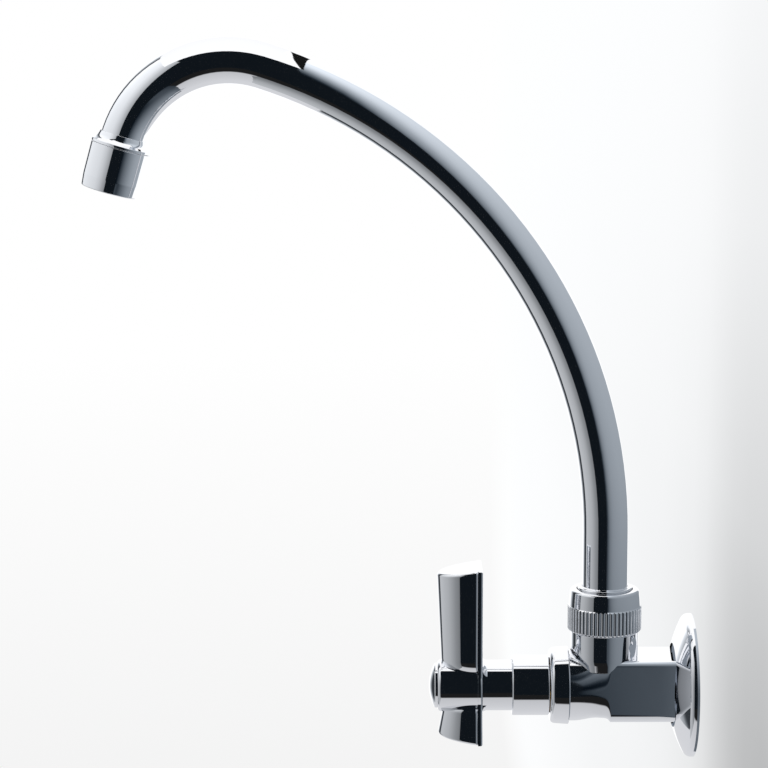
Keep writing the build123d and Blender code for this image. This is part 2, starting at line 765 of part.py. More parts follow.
save(handle_lever, "handle_lever")

with BuildPart() as neck_flare:
    flare_start = (handle_neck_radius, plate_face_back - handle_neck_flare)
    flare_end = (handle_neck_radius + handle_neck_flare, plate_face_back)
    with BuildSketch(half_section(across(0))):
        with BuildLine():
            RadiusArc(flare_start, flare_end, handle_neck_flare)
            Polyline(flare_end, (handle_neck_radius, plate_face_back), flare_start)
        make_face()
    revolve(axis=Axis.X)
    flare_outline = plate_outline(plate_face_back, handle_plate_edge)
    extrude(flare_outline, amount=-handle_neck_flare, mode=Mode.INTERSECT)

with BuildPart() as handle_back_plate:
    extrude(plate_outline(plate_face_back), amount=handle_plate_thickness)
    fillet(faces().sort_by(Axis.X)[-1].edges(), handle_plate_edge)
    rod(across, handle_neck_back, plate_face_back, handle_neck_radius)
    add(neck_flare.part)
    neck_bore = handle_neck_radius - handle_neck_wall
    rod(across, handle_neck_back, socket_back, neck_bore, Mode.SUBTRACT)
    rod(across, socket_back, plate_face_front, socket_hole_radius, Mode.SUBTRACT)
save(handle_back_plate, "handle_back_plate")

with BuildPart() as spline_insert:
    rod(across, socket_back, socket_front, socket_radius)
    rod(across, socket_back, stem_end + face_gap, stem_bore_radius, Mode.SUBTRACT)
    rod(across, stem_end, socket_front, screw_clearance_radius, Mode.SUBTRACT)
save(spline_insert, "spline_insert")

with BuildPart() as handle_screw:
    rod(across, screw_seat, screw_seat + screw_head_height, screw_head_radius)
    rod(across, screw_end, screw_seat, screw_radius)
    with BuildSketch(across(screw_seat + screw_head_height)):
        RegularPolygon(screw_socket_flats / 2, 6, major_radius=False)
    extrude(amount=-screw_socket_depth, mode=Mode.SUBTRACT)
save(handle_screw, "handle_screw")

with BuildPart() as handle_cap:
    plug_radius = cap_bore_radius - thread_gap
    cap_face = hub_face + cap_rim_thickness
    cap_dome_radius = cap_rim_radius - cap_rim_edge
    with BuildSketch(half_section(across(0))):
        with BuildLine():
            Polyline(
                (0, hub_face), (plug_radius - cap_plug_wall, hub_face),
                (plug_radius - cap_plug_wall, hub_face - cap_plug_length),
                (plug_radius, hub_face - cap_plug_length), (plug_radius, hub_face),
                (cap_rim_radius, hub_face), (cap_rim_radius, cap_face - cap_rim_edge),
                (cap_dome_radius, cap_face),
            )
            cap_sphere = (cap_dome_radius ** 2 + cap_dome_height ** 2) / (2 * cap_dome_height)
            RadiusArc((cap_dome_radius, cap_face), (0, cap_face + cap_dome_height), -cap_sphere)
            Line((0, cap_face + cap_dome_height), (0, hub_face))
        make_face()
    revolve(axis=Axis.X)
    cap_groove = 2 * cap_ring_section
    groove(across, cap_ring_place, cap_groove, cap_rim_radius, plug_radius - cap_groove)
save(handle_cap, "handle_cap")

with BuildPart() as cap_o_ring:
    with Locations(across(cap_ring_place)):
        Torus(plug_radius - cap_ring_section, cap_ring_section)
save(cap_o_ring, "cap_o_ring")
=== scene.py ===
"""Finishes, visible shells, studio and camera for a chromed wall-mounted kitchen tap.

Lengths are in metres in the CAD frame: the inlet's axis is X, the wall plane is x = 0, the spout
and the handle reach towards -X, and Z is up.
"""

from __future__ import annotations

import json
import logging
import math
from collections.abc import Callable, Iterable, Sequence
from dataclasses import astuple, dataclass
from enum import Enum

import bpy
from mathutils import Matrix, Vector

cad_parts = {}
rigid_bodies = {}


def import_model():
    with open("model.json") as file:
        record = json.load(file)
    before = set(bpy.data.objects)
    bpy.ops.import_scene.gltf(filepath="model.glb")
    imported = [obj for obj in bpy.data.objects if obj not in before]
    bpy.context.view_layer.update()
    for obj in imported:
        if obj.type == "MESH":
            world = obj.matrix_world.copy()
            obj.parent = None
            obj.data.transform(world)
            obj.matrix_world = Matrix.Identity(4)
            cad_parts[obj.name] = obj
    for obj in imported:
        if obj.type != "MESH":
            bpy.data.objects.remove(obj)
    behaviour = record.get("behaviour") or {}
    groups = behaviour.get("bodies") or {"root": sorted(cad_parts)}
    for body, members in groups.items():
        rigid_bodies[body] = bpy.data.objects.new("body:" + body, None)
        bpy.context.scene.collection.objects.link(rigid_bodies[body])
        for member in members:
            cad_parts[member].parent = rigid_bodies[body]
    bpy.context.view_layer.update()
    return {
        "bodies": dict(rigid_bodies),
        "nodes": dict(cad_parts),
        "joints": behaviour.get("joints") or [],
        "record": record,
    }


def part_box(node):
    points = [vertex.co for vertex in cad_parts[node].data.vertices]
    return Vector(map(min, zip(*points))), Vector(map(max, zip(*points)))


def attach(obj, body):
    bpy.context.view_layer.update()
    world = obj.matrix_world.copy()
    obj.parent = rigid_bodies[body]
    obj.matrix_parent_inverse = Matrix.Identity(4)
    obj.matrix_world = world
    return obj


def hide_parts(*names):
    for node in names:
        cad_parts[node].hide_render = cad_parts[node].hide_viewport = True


LOG = logging.getLogger("tap")
MM = 0.001          # metres in a millimetre
ARC_STEP = 7.5      # degrees between the stations of a rounded corner
ARC_ROOM = 0.49     # share of a side that the rounding of one of its corners may take
SHARP = 0.1         # roundings below this, in millimetres, take three steps
RUNOUT_STEP = 0.08  # millimetres between stations where a knurl runs out
KNURL_EDGE = 0.5    # millimetres below the knurl's top from which its cut runs out
KNURL_BLUR = 0.04   # millimetres over which that end of the cut is softened
NUDGE = 0.01        # millimetres of radius over which a ripple's slope is read
NUDGE_TURN = 0.1    # radians for the same round the axis, shared out over the columns
TINY = 1e-6         # keeps a division away from nought
SAME = 1e-8         # metres; points nearer than this are one point with two normals
WHITE = 255.0       # the highest sRGB value
MIX_A, MIX_B = 6, 7  # a mix node's first and second colour input
MIRROR_GAIN = 1.11  # a white card looks white in chrome that mirrors nine tenths
FORWARD = Vector((-1.0, 0.0, 0.0))  # out from the wall, along the handle's axis
UPWARD = Vector((0.0, 0.0, 1.0))    # along the spout's axis

Colour = tuple[float, float, float, float]
Glow = Callable[[float, float, float], Colour]
Inputs = dict[str | int, object]
Ripple = Callable[[float, float, float], float]
Row = list[tuple[Vector, Vector]]


def light(channels: Iterable[float], alpha: float = 1.0) -> Colour:
    """Turns an sRGB colour to linear light.

    Args:
        channels: Red, green and blue from 0 to 255.
        alpha: How opaque the colour is.

    Returns:
        Red, green and blue in linear light, and alpha.
    """
    shares = [min(max(channel, 0.0), WHITE) / WHITE for channel in channels]
    lit = [c / 12.92 if c <= 0.04045 else ((c + 0.055) / 1.055) ** 2.4 for c in shares]
    return (lit[0], lit[1], lit[2], alpha)


def linear(hex_colour: str) -> Colour:
    """Linear light of six sRGB hex digits after a hash, such as "#E6E6E1"."""
    return light(int(hex_colour[place:place + 2], 16) for place in (1, 3, 5))


def grey(value: float, tint: float = 0.0, alpha: float = 1.0) -> Colour:
    """Linear light of an sRGB grey from 0 to 255 whose blue stands above its red by a tint."""
    return light((value - tint / 2, value, value + tint / 2), alpha)


def add_node(
    tree: bpy.types.NodeTree, kind: str, inputs: Inputs | None = None, **settings: object
) -> bpy.types.Node:
    """Adds a shader node with its settings, and sets or links its inputs.

    Args:
        tree: The node tree that gets the node.
        kind: The node's type name after ShaderNode.
        inputs: A value, an output socket or a node for each named or numbered input. A node
            gives the first of its outputs that is in use.
        **settings: Attributes of the node, such as operation.

    Returns:
        The new node.
    """
    node = tree.nodes.new("ShaderNode" + kind)
    for name, value in settings.items():
        setattr(node, name, value)
    for name, value in (inputs or {}).items():
        if isinstance(value, bpy.types.Node):
            value = next(socket for socket in value.outputs if socket.enabled)
        if isinstance(value, bpy.types.NodeSocket):
            tree.links.new(value, node.inputs[name])
        else:
            node.inputs[name].default_value = value
    return node


def emptied(made: bpy.types.Material | bpy.types.World) -> bpy.types.NodeTree:
    """Clears a new material's or world's node tree and gives it."""
    made.use_nodes = True
    made.node_tree.nodes.clear()
    return made.node_tree


def linked(name: str, data: bpy.types.ID) -> bpy.types.Object:
    """Makes an object of some data and links it to the scene."""
    made = bpy.data.objects.new(name, data)
    bpy.context.scene.collection.objects.link(made)
    return made


def between(place: float, start: float, end: float) -> float:
    """Share of the way from a start to an end, held within nought and one."""
    return min(max((place - start) / (end - start), 0.0), 1.0)


def eased(share: float) -> float:
    """A share that starts and ends gently."""
    return share * share * (3 - 2 * share)


def along(stops: list[tuple[float, float]], place: float) -> float:
    """Reads a broken line of (place, value) stops.

    Args:
        stops: The corners of the line, in rising order of place.
        place: Where to read it.

    Returns:
        The value there, held level past both ends.
    """
    if place <= stops[0][0]:
        return stops[0][1]
    for (start, low), (end, high) in zip(stops, stops[1:]):
        if place <= end:
            return low + (high - low) * (place - start) / (end - start)
    return stops[-1][1]


@dataclass(frozen=True)
class Relief:
    """What roughens a surface: noise, or the rings that a turning tool leaves."""

    spacing_mm: float
    height_mm: float
    detail: float = 3.0
    strength: float = 1.0
    rings: bool = False
    wander: float = 0.4

    def height(
        self, tree: bpy.types.NodeTree, place: bpy.types.NodeSocket
    ) -> bpy.types.Node | bpy.types.NodeSocket:
        """Draws the pattern.

        Args:
            tree: The node tree.
            place: The object's own coordinates.

        Returns:
            The node or socket that gives the height.
        """
        scale = 1 / (self.spacing_mm * MM)
        if not self.rings:
            return add_node(tree, "TexNoise", {
                "Vector": place, "Scale": scale, "Detail": self.detail,
            })
        return add_node(tree, "TexWave", {
            "Vector": place, "Scale": scale / (2 * math.pi), "Distortion": self.wander,
        }, bands_direction="Z").outputs["Fac"]


@dataclass(frozen=True)
class Finish:
    """A principled surface whose grain, in the object's own space, varies its tone and gloss."""

    colour: str
    shade: str
    roughness: tuple[float, float]
    grain_mm: float
    relief: Relief | None = None
    detail: float = 3.0
    contrast: tuple[float, float] = (0.0, 1.0)
    metallic: float = 0.0

    def material(self, name: str) -> bpy.types.Material:
        """Makes the material.

        Args:
            name: The material's name.

        Returns:
            The material.
        """
        made = bpy.data.materials.new(name)
        tree = emptied(made)
        place = add_node(tree, "TexCoord").outputs["Object"]
        grain = add_node(tree, "TexNoise", {
            "Vector": place, "Scale": 1 / (self.grain_mm * MM), "Detail": self.detail,
        })
        tone = add_node(tree, "Mix", {
            "Factor": grain, MIX_A: linear(self.colour), MIX_B: linear(self.shade),
        }, data_type="RGBA")
        gloss = add_node(tree, "MapRange", {
            "Value": grain, "From Min": self.contrast[0], "From Max": self.contrast[1],
            "To Min": self.roughness[0], "To Max": self.roughness[1],
        })
        inputs = {"Base Color": tone, "Metallic": self.metallic, "Roughness": gloss}
        if self.relief:
            inputs["Normal"] = add_node(tree, "Bump", {
                "Height": self.relief.height(tree, place), "Strength": self.relief.strength,
                "Distance": self.relief.height_mm * MM,
            })
        shader = add_node(tree, "BsdfPrincipled", inputs)
        add_node(tree, "OutputMaterial", {"Surface": shader})
        return made


class Slot(Enum):
    """The record's material slots."""

    CHROME = "chrome_plate"
    BRASS = "brass"
    ACETAL = "acetal"
    RUBBER = "rubber"
    STEEL = "stainless_steel"
    CERAMIC = "ceramic"


class Finishes:
    """Every finish of the tap, one material for each slot."""

    def __init__(self) -> None:
        """Builds the materials."""
        self.by_slot = {
            # Decorative chrome over nickel on polished brass: to the eye a near-perfect mirror
            # with a faint cold tint. Polishing leaves a haze that is barely visible, and slight
            # waves, so that reflections aren't ruled lines.
            Slot.CHROME: Finish(
                "#F3F4F7", "#F3F4F7", (0.02, 0.05), 2.0, Relief(9.0, 0.004, detail=0.0),
                detail=2.0, contrast=(0.35, 0.8), metallic=1.0,
            ).material("chrome_plated_brass"),
            # Free-cutting brass, turned and left bare: a warm yellow metal, unevenly tarnished,
            # with rings from the tool. The real feed, about a tenth of a millimetre, is too
            # fine to show, so the rings stand wider.
            Slot.BRASS: Finish(
                "#C9A65C", "#A8863F", (0.28, 0.28), 4.0,
                Relief(0.35, 0.01, strength=0.3, rings=True), detail=4.0, metallic=1.0,
            ).material("turned_brass"),
            # Moulded acetal: a soft white with a waxy sheen.
            Slot.ACETAL: Finish(
                "#E6E6E0", "#DCDCD4", (0.36, 0.48), 0.6, Relief(0.6, 0.01),
            ).material("acetal"),
            # Nitrile rubber: a dull, faintly pitted black.
            Slot.RUBBER: Finish(
                "#161616", "#202020", (0.56, 0.68), 0.3, Relief(0.3, 0.02),
            ).material("nitrile_rubber"),
            # Cold-drawn stainless steel: bright, but softer than polished plate.
            Slot.STEEL: Finish(
                "#BFC0C2", "#BFC0C2", (0.16, 0.32), 0.5, metallic=1.0,
            ).material("drawn_stainless_steel"),
            # Lapped alumina: a dense white with a satin gloss.
            Slot.CERAMIC: Finish(
                "#F1F0EB", "#E8E6DF", (0.14, 0.26), 0.2, Relief(0.2, 0.002),
            ).material("lapped_alumina"),
        }

    def dress_cad(self, frame: dict) -> None:
        """Gives each CAD node the finish of its slot.
        """
        for row in frame["record"]["subparts"]:
            node = frame["nodes"][row["node"]]
            finish = self.by_slot[Slot(row["material_slot"])]
            for place in node.material_slots:
                place.material = finish


@dataclass(frozen=True)
class Corner:
    """A corner of a turned profile, in millimetres, and the radius that rounds it."""

    radius: float
    place: float
    rounding: float = 0.06


@dataclass(frozen=True)
class Station:
    """A point of a turned profile and the direction that its surface faces."""

    radius: float
    place: float
    outward: float
    forward: float


def rounded(corners: list[Corner]) -> list[Station]:
    """Rounds the corners of a closed profile with tangent arcs.

    Args:
        corners: The profile's corners, anticlockwise with the radius to the right.

    Returns:
        Stations along the arcs, in the same order.
    """
    stations = []
    spots = [Vector((corner.radius, corner.place)) for corner in corners]
    for index, corner in enumerate(corners):
        here = spots[index]
        arrive = here - spots[index - 1]
        leave = spots[(index + 1) % len(spots)] - here
        turn = math.atan2(arrive.cross(leave), arrive.dot(leave))
        half = math.tan(abs(turn) / 2)
        back = min(corner.rounding * half, ARC_ROOM * min(arrive.length, leave.length))
        bend = back / max(half, TINY)
        side = math.copysign(1.0, turn)
        first = Vector((arrive.y, -arrive.x)).normalized()
        start = here - arrive.normalized() * back
        centre = start - first * bend * side
        steps = 3 if bend < SHARP else max(2, math.ceil(abs(math.degrees(turn)) / ARC_STEP))
        for step in range(steps + 1):
            swing = turn * step / steps
            facing = Vector((
                first.x * math.cos(swing) - first.y * math.sin(swing),
                first.x * math.sin(swing) + first.y * math.cos(swing),
            ))
            point = centre + facing * bend * side
            stations.append(Station(point.x, point.y, facing.x, facing.y))
    return stations


class Surface:
    """Rows of points with exact normals that become one smooth mesh."""

    def __init__(self) -> None:
        """Starts with no points."""
        self.points: list[Vector] = []
        self.normals: list[Vector] = []
        self.faces: list[tuple[int, ...]] = []

    def skin(self, rows: list[Row], closed: bool) -> None:
        """Joins each row to the next, every row running round in a loop.

        Args:
            rows: Rows of equal length, each point with its normal.
            closed: Whether the last row joins the first.
        """
        start = len(self.points)
        width = len(rows[0])
        for row in rows:
            self.points.extend(point for point, _ in row)
            self.normals.extend(normal for _, normal in row)
        for index in range(len(rows) if closed else len(rows) - 1):
            low = start + index * width
            high = start + (index + 1) % len(rows) * width
            for column in range(width):
                following = (column + 1) % width
                corners = (low + column, low + following, high + following, high + column)
                apart = tuple(
                    corner for corner, before in zip(corners, corners[-1:] + corners[:-1])
                    if (self.points[corner] - self.points[before]).length > SAME
                )
                if len(apart) > 2:
                    self.faces.append(apart)

    def cap(self, row: Row, normal: Vector) -> None:
        """Closes an open end with a flat face.

        Args:
            row: The rim's points, anticlockwise as seen from outside.
            normal: The direction that the face looks in.
        """
        start = len(self.points)
        self.points.extend(point for point, _ in row)
        self.normals.extend(normal for _ in row)
        self.faces.append(tuple(range(start, start + len(row))))

    def piece(self, name: str) -> bpy.types.Object:
        """Makes the object.

        Args:
            name: The object's name.

        Returns:
            The object, linked to the scene.
        """
        mesh = bpy.data.meshes.new(name)
        mesh.from_pydata(self.points, [], self.faces)
        mesh.polygons.foreach_set("use_smooth", [True] * len(mesh.polygons))
        mesh.normals_split_custom_set_from_vertices([tuple(n) for n in self.normals])
        return linked(name, mesh)


@dataclass(frozen=True)
class Spindle:
    """A line about which profiles are turned, its places in millimetres along it."""

    origin: Vector
    ahead: Vector
    columns: int = 192

    @classmethod
    def at_joint(cls, ahead: Vector, columns: int = 192) -> Spindle:
        """A spindle through the point where the spout's axis meets the handle's."""
        low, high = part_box("spout_nut")
        return cls(Vector(((low[0] + high[0]) / 2, 0.0, 0.0)), ahead, columns)

    def forward_of(self, x: float) -> float:
        """How far the origin lies behind a place on X, in millimetres."""
        return (self.origin.x - x) / MM

    def turn(
        self,
        corners: list[Corner],
        ripple: Ripple | None = None,
        runout: Sequence[float] = (0.0, 0.0),
        surface: Surface | None = None,
    ) -> Surface:
        """Turns a closed profile.

        Args:
            corners: The profile's corners, anticlockwise with the radius to the right.
            ripple: Depth cut at an angle, a radius and a place.
            runout: Places between which the ripple runs out and stations stand close.
            surface: The surface that gets the rows, if not one of their own.

        Returns:
            The surface with the rows.
        """
        surface = surface or Surface()
        stations = rounded(corners)
        if ripple:
            stations = self.divided(stations, runout)
        sideways = Vector((0.0, 1.0, 0.0)) if abs(self.ahead.y) < 0.5 else Vector((1.0, 0.0, 0.0))
        third = self.ahead.cross(sideways).normalized()
        nudge = NUDGE_TURN / self.columns
        rows = []
        for station in stations:
            row = []
            for column in range(self.columns):
                angle = 2 * math.pi * column / self.columns
                out = sideways * math.cos(angle) + third * math.sin(angle)
                round_about = third * math.cos(angle) - sideways * math.sin(angle)
                cut = slope = pull = 0.0
                if ripple:
                    radius, place = station.radius, station.place
                    cut = ripple(angle, radius, place)
                    slope = (
                        ripple(angle + nudge, radius, place) - ripple(angle - nudge, radius, place)
                    ) / (2 * nudge * radius)
                    pull = (
                        ripple(angle, radius + NUDGE, place) - ripple(angle, radius - NUDGE, place)
                    ) / (2 * NUDGE)
                reach = station.radius - cut
                point = self.origin + (self.ahead * station.place + out * reach) * MM
                normal = (
                    out * station.outward
                    + round_about * slope * station.outward
                    + self.ahead * station.forward * (1 - pull)
                )
                row.append((point, normal.normalized()))
            rows.append(row)
        surface.skin(rows, closed=True)
        return surface

    @staticmethod
    def divided(stations: list[Station], within: Sequence[float]) -> list[Station]:
        """Adds stations to the runs that lie between two places.

        Args:
            stations: The profile's stations.
            within: The lowest and highest place that get more stations.

        Returns:
            The stations with the new ones between them.
        """
        dense = []
        for here, there in zip(stations, stations[1:] + stations[:1]):
            run = math.hypot(there.radius - here.radius, there.place - here.place)
            inside = within[0] <= (here.place + there.place) / 2 <= within[1]
            parts = max(1, math.ceil(run / RUNOUT_STEP)) if inside else 1
            for part in range(parts):
                share = part / parts
                dense.append(Station(*(
                    a * (1 - share) + b * share for a, b in zip(astuple(here), astuple(there))
                )))
        return dense


@dataclass
class Assembly:
    """A sub-assembly whose visible pieces share one finish."""

    finish: bpy.types.Material

    def hand_over(self, surface: Surface, name: str, body: str, node: str) -> None:
        """Turns a finished surface into a piece that stands for a CAD node.

        Args:
            surface: The finished surface.
            name: The piece's name.
            body: The body that it moves with.
            node: The node that it replaces.
        """
        piece = surface.piece(name)
        piece.data.materials.append(self.finish)
        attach(piece, body)
        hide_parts(node)
        LOG.info("%s stands for %s", name, node)


@dataclass
class SpoutJoint(Assembly):
    """The knurled union nut and the spigot whose cup holds the tube, in millimetres."""

    nut_radius: float = 15.5
    nut_mouth: float = 11.75
    nut_thread: float = 12.95
    foot_radius: float = 15.05
    foot_height: float = 0.6
    knurl_height: float = 9.5
    knurl_count: int = 52
    knurl_depth: float = 0.5
    knurl_fullness: float = 2.6
    knurl_root: float = 14.7
    runout: tuple[float, float] = (-0.3, 0.8)  # from the knurl's top
    columns_per_rib: int = 16
    slip_ring_height: float = 0.95
    shoulder_foot: float = 14.95
    shoulder_drop: float = 0.55
    shoulder_waist: tuple[float, float, float] = (14.8, 3.0, 60.0)  # radius, height, rounding
    shoulder_radius: float = 14.35
    top_rounding: float = 2.0
    cup_height: float = 7.8
    cup_radius: float = 11.45
    cup_rounding: float = 0.7
    solder_height: float = 0.9
    tube_radius: float = 9.55
    flange_radius: float = 12.5
    flange_height: float = 2.2
    flange_to_foot: float = 19.25
    fillet: float = 0.75
    tube_seat: float = 1.6
    plain_radius: float = 10.05
    bore_radius: float = 7.2

    def __post_init__(self) -> None:
        """Finds the joint's place in the frame."""
        low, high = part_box("spout_nut")
        self.bottom, self.top = low[2] / MM, high[2] / MM
        self.knurl_low = self.bottom + self.foot_height
        self.knurl_top = self.knurl_low + self.knurl_height
        self.cup_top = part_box("spout_spigot")[1][2] / MM
        self.flange_top = self.cup_top - self.cup_height

    def knurl(self, angle: float, radius: float, place: float) -> float:
        """Depth of the straight knurl at a point of the nut.

        The ribs are full and the flutes between them narrow. On the shoulder, where the profile
        has already dropped, the cut runs out with a soft maximum of the flute and the drop.

        Args:
            angle: The point's angle about the axis.
            radius: Its radius on the profile.
            place: Its place along the axis.

        Returns:
            How far the surface lies inside the profile.
        """
        share = angle * self.knurl_count / (2 * math.pi)
        across = 2 * abs(share - round(share))
        reach = between(radius, self.nut_thread, self.knurl_root)
        flute = self.knurl_depth * across ** self.knurl_fullness * reach
        drop = max(self.nut_radius - radius, 0.0) if place > self.knurl_top - KNURL_EDGE else 0.0
        rest = flute - drop
        return 0.5 * (rest + math.hypot(rest, KNURL_BLUR)) if drop else flute

    def build(self) -> None:
        """Builds the nut, and the spigot with the fillet of silver solder round the tube."""
        inside = self.flange_top + self.slip_ring_height
        waist, waist_height, sweep = self.shoulder_waist
        nut = Spindle.at_joint(UPWARD, self.knurl_count * self.columns_per_rib).turn([
            Corner(self.foot_radius, self.bottom, 0.2),
            Corner(self.nut_radius, self.knurl_low, 0.4),
            Corner(self.nut_radius, self.knurl_top, 0.2),
            Corner(self.shoulder_foot, self.knurl_top + self.shoulder_drop, 0.25),
            Corner(waist, self.knurl_top + waist_height, sweep),
            Corner(self.shoulder_radius, self.top, self.top_rounding),
            Corner(self.nut_mouth, self.top, 0.15),
            Corner(self.nut_mouth, inside),
            Corner(self.nut_thread, inside),
            Corner(self.nut_thread, self.bottom, 0.15),
        ], self.knurl, [self.knurl_top + reach for reach in self.runout])
        self.hand_over(nut, "union_nut", "root", "spout_nut")
        flange_low = self.flange_top - self.flange_height
        foot = flange_low - self.flange_to_foot
        seat = self.flange_top + self.tube_seat
        cup_edge = self.cup_top - self.solder_height / 2
        spigot = Spindle.at_joint(UPWARD).turn([
            Corner(self.plain_radius, foot, 0.8),
            Corner(self.plain_radius, flange_low),
            Corner(self.flange_radius, flange_low),
            Corner(self.flange_radius, self.flange_top, 0.2),
            Corner(self.cup_radius, self.flange_top),
            Corner(self.cup_radius, cup_edge, self.cup_rounding),
            Corner(self.tube_radius + self.fillet, cup_edge, 0.3),
            Corner(self.tube_radius, self.cup_top, 0.1),
            Corner(self.tube_radius, seat),
            Corner(self.bore_radius, seat),
            Corner(self.bore_radius, foot),
        ])
        self.hand_over(spigot, "cup_and_spigot", "spout", "spout_spigot")


@dataclass
class Bonnet(Assembly):
    """The bell-shaped collar and the plain sleeve over the cartridge, in millimetres."""

    collar_back_radius: float = 16.4
    collar_front_radius: float = 15.8
    collar_bore: float = 15.2
    collar_shoulder: float = 3.4
    collar_back_rounding: float = 0.5
    collar_wall: float = 1.4
    collar_web_radius: float = 10.5
    flange_hole: float = 11.6
    collar_reach: float = 3.1
    sleeve_radius: float = 12.6
    sleeve_rounding: float = 0.7
    sleeve_mouth: float = 10.9
    sleeve_rim: float = 6.0
    web_radius: float = 8.65
    web_length: float = 4.0

    def __post_init__(self) -> None:
        """Finds the bonnet's places along the handle's axis in the frame."""
        self.spindle = Spindle.at_joint(FORWARD)
        self.collar_front, self.collar_back = (
            self.spindle.forward_of(corner[0]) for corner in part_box("bonnet_collar")
        )
        self.sleeve_front, self.sleeve_back = (
            self.spindle.forward_of(corner[0]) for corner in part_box("bonnet_sleeve")
        )

    def build(self) -> None:
        """Builds the collar and the sleeve."""
        neck_face = self.collar_front - self.collar_reach
        flange_face = neck_face + self.collar_wall
        collar = self.spindle.turn([
            Corner(self.collar_back_radius, self.collar_back, self.collar_back_rounding),
            Corner(self.collar_front_radius, self.collar_front, self.collar_shoulder),
            Corner(self.flange_hole, self.collar_front, 0.15),
            Corner(self.flange_hole, flange_face),
            Corner(self.collar_web_radius, flange_face),
            Corner(self.collar_web_radius, neck_face),
            Corner(self.collar_bore, neck_face),
            Corner(self.collar_bore, self.collar_back, 0.2),
        ])
        self.hand_over(collar, "bonnet_bell", "root", "bonnet_collar")
        web_front = self.sleeve_front - self.sleeve_rim
        web_back = web_front - self.web_length
        sleeve = self.spindle.turn([
            Corner(self.sleeve_radius, self.sleeve_back, self.sleeve_rounding),
            Corner(self.sleeve_radius, self.sleeve_front, self.sleeve_rounding),
            Corner(self.sleeve_mouth, self.sleeve_front, 0.2),
            Corner(self.sleeve_mouth, web_front),
            Corner(self.web_radius, web_front),
            Corner(self.web_radius, web_back),
            Corner(self.flange_hole, web_back),
            Corner(self.flange_hole, self.sleeve_back, 0.15),
        ])
        self.hand_over(sleeve, "bonnet_tube", "root", "bonnet_sleeve")


@dataclass
class Outlet(Assembly):
    """The flared ferrule and the aerator's housing, in millimetres from the seam."""

    mouth: Vector
    ahead: Vector
    housing_length: float = 18.7
    ferrule_radius: float = 12.45
    ferrule_band: float = 1.1
    flare_height: float = 5.0
    flare_radius: float = 9.9
    flare_lean: float = 0.75
    tube_radius: float = 9.6
    thread_radius: float = 10.9
    thread_length: float = 7.5
    thread_gap: float = 0.05
    bore_radius: float = 8.0
    tube_end: float = 3.0
    seam_gap: float = 0.15
    housing_radius: float = 12.4
    waist_radius: float = 12.3
    taper_length: float = 5.0
    mouth_radius: float = 11.85
    lip_radius: float = 9.2
    lip_height: float = 2.1
    insert_bore: float = 10.35
    gasket_end: float = 9.3

    def __post_init__(self) -> None:
        """Finds the seam between the ferrule and the housing."""
        seam = self.mouth - self.ahead * self.housing_length * MM
        self.spindle = Spindle(seam, self.ahead)

    def build(self) -> None:
        """Builds the ferrule and the housing."""
        ferrule = self.spindle.turn([
            Corner(self.flare_radius, -self.flare_height, 0.1),
            Corner(self.flare_radius + self.flare_lean, -self.flare_height / 2, 5.0),
            Corner(self.ferrule_radius, -self.ferrule_band, 0.3),
            Corner(self.ferrule_radius, 0.0, 0.2),
            Corner(self.thread_radius, 0.0),
            Corner(self.thread_radius, self.thread_length, 0.3),
            Corner(self.bore_radius, self.thread_length, 0.1),
            Corner(self.bore_radius, self.tube_end),
            Corner(self.tube_radius, self.tube_end),
            Corner(self.tube_radius, -self.flare_height),
        ])
        self.hand_over(ferrule, "outlet_ferrule", "spout", "spout_tip")
        lip = self.housing_length - self.lip_height
        thread = self.thread_radius + self.thread_gap
        housing = self.spindle.turn([
            Corner(self.housing_radius, self.seam_gap, 0.25),
            Corner(self.waist_radius, self.housing_length - self.taper_length, 8.0),
            Corner(self.mouth_radius, self.housing_length, 0.5),
            Corner(self.lip_radius, self.housing_length, 0.4),
            Corner(self.lip_radius, lip),
            Corner(self.insert_bore, lip),
            Corner(self.insert_bore, self.gasket_end),
            Corner(thread, self.gasket_end),
            Corner(thread, self.seam_gap, 0.1),
        ])
        self.hand_over(housing, "outlet_housing", "spout", "aerator_housing")


@dataclass(frozen=True)
class Rib:
    """One cross-section of a lever blade: its height, half width, depth and the end's slope."""

    height: float
    half_width: float
    depth: float
    slope: float

    def lean(self) -> float:
        """The slope in radians, rising forwards below the handle's axis and falling above it."""
        return math.radians(self.slope) * (-1 if self.height > 0 else 1)

    def facing(self) -> Vector:
        """The upward normal of the section's plane."""
        return Vector((math.sin(self.lean()), 0.0, math.cos(self.lean())))


